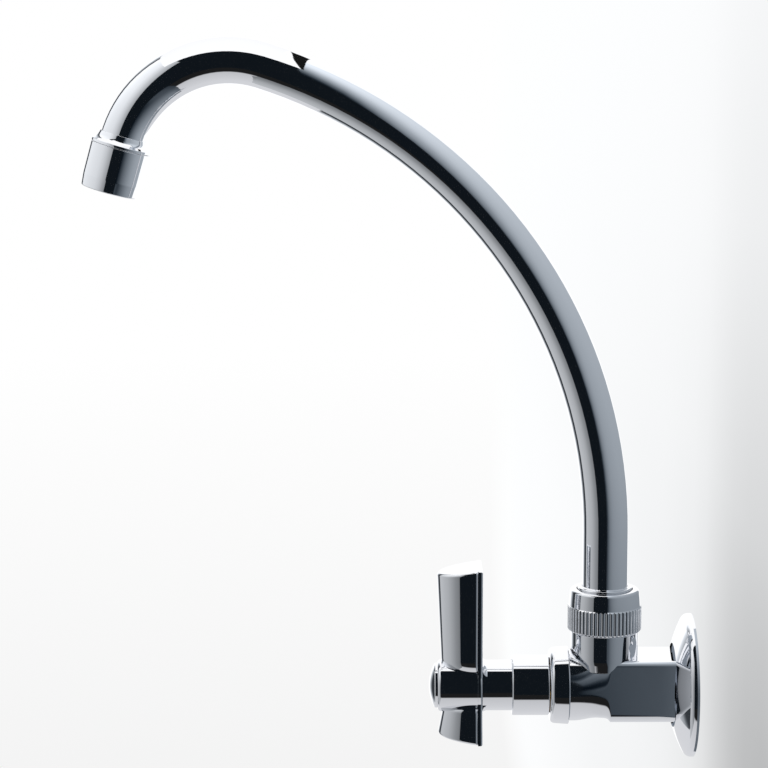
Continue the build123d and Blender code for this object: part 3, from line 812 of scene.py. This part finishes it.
@dataclass
class Lever(Assembly):
    """The zinc lever: a hub, an upper blade and a lower wing, in millimetres."""

    hub_radius: float = 10.9
    hub_rounding: float = 1.6
    cap_bore: float = 6.2
    cap_height: float = 3.6
    socket_reach: float = 2.3
    screw_web: float = 3.0
    screw_hole: float = 2.6
    socket_hole: float = 6.45
    blade_root: Rib = Rib(6.3, 9.5, 15.1, 0.0)
    blade_tip: Rib = Rib(51.4, 11.6, 17.3, 8.0)
    wing_root: Rib = Rib(-7.6, 9.2, 14.2, 0.0)
    wing_tip: Rib = Rib(-23.2, 11.6, 17.0, 8.0)
    blade_tuck: tuple[float, float] = (3.0, 6.0)  # inset and height of the root's rounding
    wing_tuck: tuple[float, float] = (1.8, 2.6)
    tip_rounding: float = 1.4
    rear_rounding: float = 1.1
    trace: float = 0.001  # of the end's normal, so that none is nought on the flat back
    half_columns: int = 48
    corner_columns: int = 6

    def __post_init__(self) -> None:
        """Finds the handle's plate and hub in the frame."""
        self.spindle = Spindle.at_joint(FORWARD)
        self.plate = self.spindle.forward_of(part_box("handle_lever")[1][0])
        self.hub_face = self.spindle.forward_of(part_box("handle_cap")[0][0]) - self.cap_height

    def outline(self, rib: Rib, inset: float) -> list[tuple[float, float, float, float, float]]:
        """Runs once round a section: a half ellipse, rounded rear corners and the flat back.

        Args:
            rib: The section.
            inset: How far the ellipse is drawn in.

        Returns:
            Sideways and forward place, sideways and forward normal, and how far the ends'
            roundings reach that point.
        """
        deep = rib.depth - self.rear_rounding
        wide = rib.half_width
        points = []
        for column in range(2 * self.half_columns + 1):
            turn = math.radians(90 - 90 * column / self.half_columns)
            normal = Vector((math.sin(turn) / wide, math.cos(turn) / deep)).normalized()
            side = wide * math.sin(turn) - inset * normal.x
            ahead = self.rear_rounding + deep * math.cos(turn) - inset * normal.y
            points.append((side, ahead, normal.x, normal.y, 1.0))
        for hand in (-1, 1):
            middle = hand * (wide - inset - self.rear_rounding)
            steps = range(1, self.corner_columns + 1)
            for step in steps if hand < 0 else reversed(steps):
                turn = math.radians(90 * step / self.corner_columns)
                across, behind = math.cos(turn), math.sin(turn)
                points.append((
                    middle + hand * across * self.rear_rounding,
                    self.rear_rounding * (1 - behind), hand * across, -behind, across,
                ))
        return points

    def place(self, rib: Rib, side: float, ahead: float) -> Vector:
        """Puts a point of a sloped section into the frame, in millimetres."""
        slope = rib.lean()
        return Vector((
            self.spindle.forward_of(0.0) - self.plate - ahead * math.cos(slope),
            side,
            rib.height + ahead * math.sin(slope),
        ))

    def end_rows(self, here: Rib, there: Rib, inset: float, height: float) -> list[Row]:
        """Runs over the rounded edge at one end of a blade.

        Args:
            here: The section at this end.
            there: The section at the other end.
            inset: How far the rounding draws the section in.
            height: How far it reaches along the blade.

        Returns:
            The rows, the last of them flat with the end.
        """
        up = 1.0 if here.height > there.height else -1.0
        far, near = self.outline(there, 0.0), self.outline(here, 0.0)
        rows = []
        steps = 2 * self.corner_columns
        for step in range(steps + 1):
            turn = math.radians(90 * step / steps)
            section = self.outline(here, inset * (1 - math.cos(turn)))
            row = []
            for column, (side, ahead, sideways, forwards, share) in enumerate(section):
                start = self.place(there, *far[column][:2])
                end = self.place(here, *near[column][:2])
                run = (end - start).normalized()
                back = height * (1 - math.sin(turn)) * share
                flat = Vector((-forwards, sideways, 0.0))
                wall = (flat - run * flat.dot(run)).normalized()
                outwards, lengthwise = math.cos(turn) * height, math.sin(turn) * inset * share
                normal = wall * outwards + here.facing() * up * (lengthwise + self.trace)
                if step == steps:
                    normal = wall * (1 - share) + here.facing() * up
                row.append((self.place(here, side, ahead) - run * back, normal.normalized()))
            rows.append(row)
        return rows

    def blade(self, surface: Surface, root: Rib, tip: Rib, tuck: tuple[float, float]) -> None:
        """Adds one blade.

        Args:
            surface: The surface that gets it.
            root: Its section next to the hub.
            tip: Its outer section.
            tuck: Inset and height of the rounding under which it runs into the hub.
        """
        up = 1.0 if tip.height > root.height else -1.0
        rows = list(reversed(self.end_rows(root, tip, *tuck)))
        rows += self.end_rows(tip, root, self.tip_rounding, self.tip_rounding)
        rows = [[(point * MM, normal) for point, normal in row] for row in rows]
        if up < 0:
            rows = [list(reversed(row)) for row in rows]
        surface.skin(rows, closed=False)
        surface.cap(list(reversed(rows[0])), root.facing() * -up)
        surface.cap(rows[-1], tip.facing() * up)

    def build(self) -> None:
        """Builds the lever."""
        socket = self.plate + self.socket_reach
        seat = socket + self.screw_web
        surface = self.spindle.turn([
            Corner(self.hub_radius, self.plate, 0.05),
            Corner(self.hub_radius, self.hub_face, self.hub_rounding),
            Corner(self.cap_bore, self.hub_face, 0.2),
            Corner(self.cap_bore, seat),
            Corner(self.screw_hole, seat),
            Corner(self.screw_hole, socket),
            Corner(self.socket_hole, socket),
            Corner(self.socket_hole, self.plate),
        ])
        self.blade(surface, self.blade_root, self.blade_tip, self.blade_tuck)
        self.blade(surface, self.wing_root, self.wing_tip, self.wing_tuck)
        self.hand_over(surface, "lever_casting", "handle", "handle_lever")


@dataclass
class Casting(Assembly):
    """The body: square bar, blend, round neck, boss and threaded shank, in millimetres."""

    half_side: float = 13.4
    neck_radius: float = 14.9
    top_rounding: float = 2.2
    bottom_rounding: float = 4.4
    blend_start: float = -2.0
    blend_end: float = 6.5
    blend_rows: int = 40
    lead_in: float = 1.0
    flat_left: float = 0.01
    slow_share: float = 0.22
    slow_power: float = 1.6
    fast_power: float = 12.0
    swell_start: float = 3.0
    corner_start: float = 1.5
    bulge_turn: float = 27.0
    swell_end: float = 13.0
    bar_inset: float = 3.0
    neck_face: float = 20.0
    neck_bore: float = 10.25
    chamber_end: float = 9.6
    chamber_radius: float = 9.7
    seat_place: float = -1.0
    seat_bore: float = 5.0
    inlet_step: float = 8.0
    inlet_bore: float = 6.5
    shank_radius: float = 10.28
    thread_radius: float = 10.48
    thread_root: float = 9.32
    thread_pitch: float = 1.814
    thread_start: float = 1.0
    thread_run_in: float = 0.5
    thread_run_out: float = 0.6
    boss_radius: float = 14.25
    boss_foot_radius: float = 13.38
    boss_foot: float = 8.6
    boss_swell: float = 12.8
    boss_top: float = 24.1
    boss_inside: float = 11.9
    union_radius: float = 12.9
    union_top: float = 32.6
    spout_bore: float = 10.1
    spout_floor: float = 13.0
    port_radius: float = 4.5
    port_depth: float = 2.0
    quarter: int = 18

    def __post_init__(self) -> None:
        """Finds the wall and the shank's end, as places in front of the spout's axis."""
        self.boss = Spindle.at_joint(UPWARD)
        self.wall = self.boss.forward_of(0.0)
        self.shank_end = self.boss.forward_of(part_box("tap_body")[1][0])
        self.bar_end = self.wall + self.bar_inset

    def flat(self, distance: float, rounding: float) -> float:
        """Half length of the flat that is left on a side at a distance.

        Args:
            distance: How far in front of the spout's axis.
            rounding: Radius of the bar's corner.

        Returns:
            The half length, which shrinks fast at first and then slowly.
        """
        rest = 1 - between(distance, self.blend_start, self.blend_end)
        slow = self.slow_share * rest ** self.slow_power
        fast = (1 - self.slow_share) * rest ** self.fast_power
        return (self.half_side - rounding) * (slow + fast) + self.flat_left

    def side(self, distance: float) -> float:
        """Half width of the section at a distance."""
        share = eased(between(distance, self.swell_start, self.swell_end))
        return self.half_side + (self.neck_radius - self.half_side) * share

    def corner(self, distance: float, rounding: float) -> float:
        """Radius of a corner at a distance: it stays tight while the flats bulge."""
        share = eased(between(distance, self.corner_start, self.swell_end))
        return rounding + (self.neck_radius - rounding) * share

    def skin_row(self, distance: float) -> Row:
        """One section of the bar, the blend or the neck: four bulged flats and their corners.

        Args:
            distance: Its distance in front of the spout's axis.

        Returns:
            Points with normals, once round from the side that faces +Y.
        """
        bulge = math.radians(self.bulge_turn)
        spread = math.sin(bulge) + 1 - math.cos(bulge)
        side = self.side(distance)
        middle = Vector((self.wall - distance, 0.0, 0.0))
        row = []
        for quadrant in range(4):
            rounding = self.top_rounding if quadrant < 2 else self.bottom_rounding
            flat = self.flat(distance, rounding)
            tight = min(self.corner(distance, rounding), side - flat)
            wide = tight + (side - flat - tight) / spread
            shift = wide - tight
            arcs = (  # from the side, round the corner, to the next side
                (Vector((0.0, side - wide, flat)), wide),
                (Vector((
                    0.0, side - wide + shift * math.cos(bulge), flat + shift * math.sin(bulge)
                )), tight),
                (Vector((0.0, flat, side - wide)), wide),
            )
            swing = Matrix.Rotation(math.pi / 2 * quadrant, 3, "X")
            for step in range(self.quarter + 1):
                turn = math.radians(90 * step / self.quarter)
                centre, radius = arcs[(turn > bulge) + (turn > math.pi / 2 - bulge)]
                facing = Vector((0.0, math.cos(turn), math.sin(turn)))
                row.append(((middle + swing @ (centre + facing * radius)) * MM, swing @ facing))
        return row

    def ring_row(self, distance: float, radius: float, outward: float, forward: float) -> Row:
        """A circular row with the same number of points.

        Args:
            distance: Its distance in front of the spout's axis.
            radius: Its radius.
            outward: How far its normal points away from the axis.
            forward: How far its normal points away from the wall.

        Returns:
            Points with normals.
        """
        count = 4 * (self.quarter + 1)
        row = []
        for column in range(count):
            turn = 2 * math.pi * (column - 0.5) / count
            away = Vector((0.0, math.cos(turn), math.sin(turn)))
            point = Vector((self.wall - distance, 0.0, 0.0)) + away * radius
            row.append((point * MM, (away * outward - Vector((forward, 0.0, 0.0))).normalized()))
        return row

    def rings(self, profile: list[tuple[float, float]]) -> list[Row]:
        """Rows along a sharp-edged profile, two at each corner.

        Args:
            profile: (distance, radius) corners, travelling with the metal on the right.

        Returns:
            The rows of each straight run in turn.
        """
        rows = []
        for (start, low), (end, high) in zip(profile, profile[1:]):
            length = math.hypot(end - start, high - low)
            outward, forward = -(end - start) / length, (high - low) / length
            rows.append(self.ring_row(start, low, outward, forward))
            rows.append(self.ring_row(end, high, outward, forward))
        return rows

    def thread(self) -> list[tuple[float, float]]:
        """Draws the shank's outline with the ridges of its pipe thread.

        Returns:
            (distance, radius) corners from the bar's end to the shank's.
        """
        outline = [(self.bar_end, self.shank_radius)]
        place = min(self.wall + self.thread_start, self.bar_end - self.thread_run_in)
        while place - self.thread_pitch > self.shank_end + self.thread_run_out:
            outline.append((place, self.thread_radius))
            outline.append((place - self.thread_pitch / 2, self.thread_root))
            place -= self.thread_pitch
        outline.append((place, self.thread_radius))
        outline.append((self.shank_end, self.thread_root))
        return outline

    def build(self) -> None:
        """Builds the casting."""
        surface = Surface()
        span = self.swell_end - self.blend_start
        places = [
            self.neck_face,
            *(self.swell_end - span * row / self.blend_rows for row in range(self.blend_rows + 1)),
            self.blend_start - self.lead_in, self.bar_end,
        ]
        rows = [self.skin_row(place) for place in places]
        rows.append([(point, -FORWARD) for point, _ in rows[-1]])
        rows.append(self.ring_row(self.bar_end, self.shank_radius, 0.0, -1.0))
        rows += self.rings(self.thread())
        rows += self.rings([
            (self.shank_end, self.thread_root), (self.shank_end, self.inlet_bore),
            (self.wall + self.inlet_step, self.inlet_bore),
            (self.wall + self.inlet_step, self.seat_bore),
            (self.seat_place, self.seat_bore), (self.seat_place, self.chamber_radius),
            (self.chamber_end, self.chamber_radius), (self.chamber_end, self.neck_bore),
            (self.neck_face, self.neck_bore),
        ])
        rows.append(self.ring_row(self.neck_face, self.neck_bore, 0.0, 1.0))
        rows.append([(point, FORWARD) for point, _ in rows[0]])
        surface.skin(rows, closed=True)
        port_floor = self.spout_floor - self.port_depth
        self.boss.turn([
            Corner(self.boss_foot_radius, self.boss_foot),
            Corner(self.boss_radius, self.boss_swell, 12.0),
            Corner(self.boss_radius, self.boss_top, 0.4),
            Corner(self.union_radius, self.boss_top),
            Corner(self.union_radius, self.union_top, 0.5),
            Corner(self.spout_bore, self.union_top, 0.3),
            Corner(self.spout_bore, self.spout_floor),
            Corner(self.port_radius, self.spout_floor),
            Corner(self.port_radius, port_floor),
            Corner(self.spout_bore, port_floor),
            Corner(self.boss_inside, self.boss_foot),
        ], surface=surface)
        self.hand_over(surface, "body_casting", "root", "tap_body")


@dataclass
class Card:
    """A light panel, a board or a black flag that only mirrors see, or else only the camera."""

    name: str
    low: tuple[float, float, float]
    high: tuple[float, float, float]
    glow: Glow
    steps: int = 40
    backdrop: bool = False

    def build(self) -> None:
        """Builds the card as a grid whose corners carry its brightness."""
        low, high = Vector(self.low), Vector(self.high)
        flat = min(range(3), key=lambda axis: high[axis] - low[axis])
        first, second = [axis for axis in range(3) if axis != flat]
        width = self.steps + 1
        points = []
        for place in range(width * width):
            point = low.copy()
            point[first] += (high[first] - low[first]) * (place % width) / self.steps
            point[second] += (high[second] - low[second]) * (place // width) / self.steps
            points.append(point)
        starts = [row * width + column for row in range(self.steps) for column in range(self.steps)]
        mesh = bpy.data.meshes.new(self.name)
        mesh.from_pydata(points, [], [(at, at + 1, at + width + 1, at + width) for at in starts])
        shade = mesh.color_attributes.new("glow", "FLOAT_COLOR", "POINT")
        for place, point in enumerate(points):
            shade.data[place].color = self.glow(*point)
        mesh.materials.append(self.material())
        card = linked(self.name, mesh)
        card.visible_camera = self.backdrop
        card.visible_glossy = not self.backdrop
        card.visible_diffuse = False
        card.visible_shadow = False
        card.visible_transmission = False

    def material(self) -> bpy.types.Material:
        """Builds the emission that shows the stored brightness.

        Returns:
            The material. A backdrop's is clear from behind and where its alpha is nought.
        """
        made = bpy.data.materials.new(self.name)
        tree = emptied(made)
        stored = add_node(tree, "VertexColor", layer_name="glow")
        shown = add_node(tree, "Emission", {
            "Color": stored, "Strength": 1.0 if self.backdrop else MIRROR_GAIN,
        })
        if self.backdrop:
            back = add_node(tree, "NewGeometry").outputs["Backfacing"]
            front = add_node(tree, "Math", {
                0: stored.outputs["Alpha"], 1: back,
            }, operation="MULTIPLY")
            clear = add_node(tree, "BsdfTransparent")
            shown = add_node(tree, "MixShader", {"Fac": front, 1: clear, 2: shown})
        add_node(tree, "OutputMaterial", {"Surface": shown})
        return made


@dataclass
class Studio:
    """The room that the chrome mirrors, and the light on everything else.

    Places are in metres. A pair gives the ends of a range, or two coordinates of a card's corner.
    """

    table_height: float = -0.50
    table_front: float = -0.54
    table_radius: float = 1.2
    table_sides: int = 96
    table_fade: tuple[float, float] = (0.6, 0.98)
    front_blur: float = 0.05
    front_glow: tuple[float, float] = (0.012, 0.55)
    table_back: float = 0.3
    table_glow: tuple[float, float] = (0.95, 1.2)
    shown_wall: float = 0.0004
    shown_low: tuple[float, float] = (-0.95, -0.6)
    shown_high: tuple[float, float] = (2.1, 0.8)
    wall_place: float = 0.03
    wall_low: tuple[float, float] = (-1.0, -0.29)
    wall_high: tuple[float, float] = (0.10, 0.80)
    side_place: float = -0.42
    side_front: float = -0.46
    side_top: float = 0.62
    flag_place: float = -0.425
    flag_low: tuple[float, float] = (0.19, -0.3)
    flag_high: tuple[float, float] = (0.62, 0.6)
    ceiling_height: float = 0.32
    ceiling_left: tuple[float, float] = (-0.262, -0.057)
    ceiling_right: tuple[float, float] = (-0.152, 0.2)
    ceiling_fall: float = 60.0
    frame_right: tuple[float, float] = (-0.138, 0.11)
    frame_dark: float = 22.0
    room_dark: float = 20.0
    room_lift: float = 0.16
    room_blur: float = 0.03
    below: tuple[float, float] = (-0.14, -0.31)
    below_shade: float = 0.1
    lamp_size: float = 0.8
    lamp_power: float = 6.0
    lamp_place: tuple[float, float, float] = (-0.3, -0.3, 1.1)
    lamp_target: tuple[float, float, float] = (-0.1, 0.0, 0.1)

    def build(self) -> None:
        """Builds the cards, the floor, the world and the lamp."""
        for card in (
            self.backdrop(), self.wall(), self.side(), self.ceiling(), self.ceiling_frame(),
            self.flag(),
        ):
            card.build()
            LOG.info("%s stands in the studio", card.name)
        self.floor()
        self.world()
        self.lamp()

    def backdrop(self) -> Card:
        """The wall that the tap hangs on, to the camera, with painted shade low down in front."""
        # Painted shade: how far the wall greys, by its depth and by its height.
        depth = [
            (-0.9, 16.0), (-0.45, 46.0), (-0.2, 70.0), (-0.13, 62.0), (-0.02, 22.0), (0.1, 13.0),
            (0.3, 8.0), (0.6, 4.0), (1.0, 1.5), (1.6, 0.0),
        ]
        height = [
            (-0.6, 2.2), (-0.2, 1.6), (-0.1, 1.0), (0.02, 1.0), (0.07, 0.78), (0.1, 0.6),
            (0.2, 0.25), (0.3, 0.1), (0.4, 0.0),
        ]
        edge = [(-0.55, 0.0), (-0.4, 1.0), (0.6, 1.0), (0.75, 0.0)]
        far = [(-0.95, 0.0), (-0.7, 1.0), (1.6, 1.0), (2.1, 0.0)]
        return Card(
            "stage_wall", (self.shown_wall, *self.shown_low), (self.shown_wall, *self.shown_high),
            lambda x, y, z: grey(
                WHITE - along(depth, y) * along(height, z), 2.0, along(edge, z) * along(far, y)
            ),
            steps=80, backdrop=True,
        )

    def wall(self) -> Card:
        """Pale wall board on the right: painted light high up, painted shade towards the front."""
        height = [
            (-0.29, 95.0), (-0.2, 122.0), (0.0, 134.0), (0.1, 160.0), (0.25, 183.0),
            (0.4, 213.0), (0.55, 232.0), (0.7, 242.0),
        ]
        outer = [
            (-1.0, 0.1), (-0.8, 0.17), (-0.7, 0.28), (-0.5, 0.44), (-0.3, 0.68), (-0.1, 0.93),
            (0.0, 1.0),
        ]
        middle = [(-1.0, 0.38), (-0.8, 0.48), (-0.6, 0.58), (-0.3, 0.75), (-0.1, 0.95), (0.0, 1.0)]
        lower = [(-1.0, 0.3), (-0.85, 0.5), (-0.6, 0.56), (-0.4, 0.6), (-0.28, 0.72), (-0.1, 0.95)]
        belt = [(0.05, 0.0), (0.22, 1.0), (0.42, 1.0), (0.58, 0.0)]
        foot = [(-0.12, 1.0), (-0.04, 0.0)]

        def glow(x: float, y: float, z: float) -> Colour:
            """Painted shade: darkens towards the front, less so in a belt at mid height."""
            share, low = along(belt, z), along(foot, z)
            fade = along(outer, y) * (1 - share - low) + along(middle, y) * share
            fade += along(lower, y) * low
            return grey(along(height, z) * fade, tint=14.0)

        return Card(
            "stage_wall_board", (self.wall_place, *self.wall_low),
            (self.wall_place, *self.wall_high), glow,
        )

    def side(self) -> Card:
        """The soft box on the left, brighter upwards and paler towards its back."""
        height = [
            (-0.25, 175.0), (0.0, 182.0), (0.1, 190.0), (0.2, 221.0), (0.3, 234.0), (0.4, 250.0),
        ]
        depth = [(-0.46, 0.62), (-0.4, 0.7), (-0.3, 0.76), (-0.2, 0.86), (-0.1, 0.95), (0.1, 1.03)]
        return Card(
            "stage_side_box", (self.side_place, self.side_front, self.table_height),
            (self.side_place, self.flag_low[0], self.side_top),
            lambda x, y, z: grey(along(height, z) * along(depth, y), tint=5.0),
        )

    def flag(self) -> Card:
        """The black flag behind the soft box, narrower at the top, and the paper beyond it."""
        depth = [(0.19, 50.0), (0.32, 60.0), (0.4, 150.0), (0.5, 184.0), (0.62, 246.0)]
        shift = [(0.32, 0.0), (0.42, 0.1)]
        return Card(
            "stage_black_flag", (self.flag_place, *self.flag_low),
            (self.flag_place, *self.flag_high),
            lambda x, y, z: grey(along(depth, y + along(shift, z)), tint=8.0),
        )

    def ceiling(self) -> Card:
        """The overhead soft box above the spout's top bend."""
        return Card(
            "stage_overhead_box", (*self.ceiling_left, self.ceiling_height),
            (*self.ceiling_right, self.ceiling_height),
            lambda x, y, z: grey(WHITE - self.ceiling_fall * max(y, 0.0)),
        )

    def ceiling_frame(self) -> Card:
        """The dark frame at the overhead box's right end, which runs to a point at the back."""
        edge = [(-0.057, -0.1398), (-0.006, -0.1455), (0.11, -0.1515)]
        return Card(
            "stage_overhead_frame",
            (self.ceiling_right[0], self.ceiling_left[1], self.ceiling_height),
            (*self.frame_right, self.ceiling_height),
            lambda x, y, z: grey(self.frame_dark if x > along(edge, y) else WHITE),
            steps=56,
        )

    def floor(self) -> None:
        """Builds the pale floor, which fades out at its rim.

        Mirrors see it as a bright sheet that ends in front, and from below it is clear.
        """
        turns = [2 * math.pi * side / self.table_sides for side in range(self.table_sides)]
        ring = [
            (self.table_radius * math.cos(turn), self.table_radius * math.sin(turn),
             self.table_height)
            for turn in turns
        ]
        mesh = bpy.data.meshes.new("stage_floor")
        mesh.from_pydata(ring, [], [tuple(range(len(ring)))])
        made = bpy.data.materials.new("pale_floor")
        tree = emptied(made)
        place = add_node(tree, "TexCoord").outputs["Object"]
        forwards = add_node(tree, "SeparateXYZ", {"Vector": place}).outputs["Y"]
        # White paper to the camera and to light, clear towards the rim and from below.
        away = add_node(tree, "VectorMath", {
            0: place, 1: (0.0, 0.0, self.table_height),
        }, operation="DISTANCE")
        rim = add_node(tree, "MapRange", {
            "Value": away, "From Min": self.table_radius * self.table_fade[0],
            "From Max": self.table_radius * self.table_fade[1], "To Min": 1.0, "To Max": 0.0,
        }, interpolation_type="SMOOTHSTEP")
        paper = add_node(tree, "BsdfDiffuse", {"Color": linear("#F2F2F2")})
        clear = add_node(tree, "BsdfTransparent")
        back = add_node(tree, "NewGeometry").outputs["Backfacing"]
        above = add_node(tree, "Math", {0: rim, 1: back}, operation="SUBTRACT", use_clamp=True)
        seen = add_node(tree, "MixShader", {"Fac": above, 1: clear, 2: paper})
        # A bright sheet to mirrors, dark where it ends in front.
        front = add_node(tree, "MapRange", {
            "Value": forwards, "From Min": self.table_front - self.front_blur,
            "From Max": self.table_front + self.front_blur,
            "To Min": self.front_glow[0], "To Max": self.front_glow[1],
        }, interpolation_type="SMOOTHSTEP")
        depth = add_node(tree, "MapRange", {
            "Value": forwards, "From Min": self.table_front, "From Max": self.table_back,
            "To Min": self.table_glow[0] * MIRROR_GAIN, "To Max": self.table_glow[1] * MIRROR_GAIN,
        })
        glow = add_node(tree, "Math", {0: front, 1: depth}, operation="MULTIPLY")
        mirrored = add_node(tree, "Emission", {"Color": linear("#FBFCFF"), "Strength": glow})
        mirror_ray = add_node(tree, "LightPath").outputs["Is Glossy Ray"]
        surface = add_node(tree, "MixShader", {"Fac": mirror_ray, 1: seen, 2: mirrored})
        add_node(tree, "OutputMaterial", {"Surface": surface})
        mesh.materials.append(made)
        floor = linked("stage_floor", mesh)

    def world(self) -> None:
        """Builds the world: a pale backdrop, a dark room in front for mirrors, and even fill."""
        made = bpy.data.worlds.new("studio")
        bpy.context.scene.world = made
        tree = emptied(made)
        ray = add_node(tree, "LightPath").outputs
        direction = add_node(tree, "TexCoord").outputs["Generated"]
        apart = add_node(tree, "SeparateXYZ", {"Vector": direction}).outputs
        # Mirrors see a dark room in front of the tap and white behind it.
        lift = add_node(tree, "Math", {
            0: apart["Z"], 1: self.room_lift, 2: apart["Y"],
        }, operation="MULTIPLY_ADD")
        behind = add_node(tree, "MapRange", {
            "Value": lift, "From Min": -self.room_blur, "From Max": self.room_blur,
        }, interpolation_type="SMOOTHSTEP")
        mirrored = add_node(tree, "Mix", {
            "Factor": behind, MIX_A: grey(self.room_dark, tint=10.0), MIX_B: linear("#FFFFFF"),
        }, data_type="RGBA")
        # The camera sees white, a little painted shade far below; all else gets an even fill.
        low = add_node(tree, "MapRange", {
            "Value": apart["Z"], "From Min": self.below[0], "From Max": self.below[1],
            "To Min": 0.0, "To Max": self.below_shade,
        })
        backdrop = add_node(tree, "Mix", {
            "Factor": low, MIX_A: linear("#FFFFFF"), MIX_B: linear("#101218"),
        }, data_type="RGBA")
        fill = add_node(tree, "Mix", {
            "Factor": ray["Is Camera Ray"], MIX_A: linear("#E4E5E8"), MIX_B: backdrop,
        }, data_type="RGBA")
        shown = add_node(tree, "Mix", {
            "Factor": ray["Is Glossy Ray"], MIX_A: fill, MIX_B: mirrored,
        }, data_type="RGBA")
        gain = add_node(tree, "MapRange", {
            "Value": ray["Is Glossy Ray"], "To Min": 1.0, "To Max": MIRROR_GAIN,
        })
        background = add_node(tree, "Background", {"Color": shown, "Strength": gain})
        add_node(tree, "OutputWorld", {"Surface": background})

    def lamp(self) -> None:
        """Adds the soft overhead lamp, which mirrors don't see."""
        data = bpy.data.lights.new("soft_overhead", "AREA")
        data.shape = "DISK"
        data.size = self.lamp_size
        data.energy = self.lamp_power
        lamp = linked("soft_overhead", data)
        lamp.location = self.lamp_place
        aim = Vector(self.lamp_target) - Vector(self.lamp_place)
        lamp.rotation_euler = aim.to_track_quat("-Z", "Y").to_euler()
        lamp.visible_glossy = False
        lamp.visible_camera = False


@dataclass
class Viewpoint:
    """The photograph's camera: its place, its turns in radians and its lens."""

    place: tuple[float, float, float] = (-0.12542, -0.98274, 0.28030)
    yaw: float = 0.004
    pitch: float = 0.153
    roll: float = -0.003
    lens_mm: float = 112.5
    sensor_mm: float = 36.0
    clip: tuple[float, float] = (0.05, 20.0)

    def build(self) -> None:
        """Builds the camera and makes it the scene's."""
        data = bpy.data.cameras.new("camera")
        data.lens = self.lens_mm
        data.sensor_width = self.sensor_mm
        data.clip_start, data.clip_end = self.clip
        back = Vector((
            math.sin(self.yaw) * math.cos(self.pitch),
            -math.cos(self.yaw) * math.cos(self.pitch),
            math.sin(self.pitch),
        ))
        right = Vector((math.cos(self.yaw), math.sin(self.yaw), 0.0))
        up = back.cross(right)
        across = right * math.cos(self.roll) + up * math.sin(self.roll)
        upward = up * math.cos(self.roll) - right * math.sin(self.roll)
        turn = Matrix((across, upward, back)).transposed()
        camera = linked("camera", data)
        camera.matrix_world = Matrix.Translation(self.place) @ turn.to_4x4()
        bpy.context.scene.camera = camera


def main() -> None:
    """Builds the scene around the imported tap."""
    logging.basicConfig(level=logging.INFO, format="%(name)s: %(message)s")
    for leftover in list(bpy.data.objects):
        bpy.data.objects.remove(leftover)
    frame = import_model()
    bpy.context.scene.view_settings.view_transform = "Standard"
    finishes = Finishes()
    finishes.dress_cad(frame)
    LOG.info("finishes on %d CAD nodes", len(frame["nodes"]))
    chrome = finishes.by_slot[Slot.CHROME]
    Casting(chrome).build()
    SpoutJoint(chrome).build()
    Bonnet(chrome).build()
    mouth = next(row for row in frame["record"]["mounts"] if row["name"] == "outlet")
    Outlet(chrome, Vector(mouth["pos_m"]), Vector(mouth["axis"]).normalized()).build()
    Lever(chrome).build()
    Studio().build()
    Viewpoint().build()


if __name__ == "__main__":
    main()
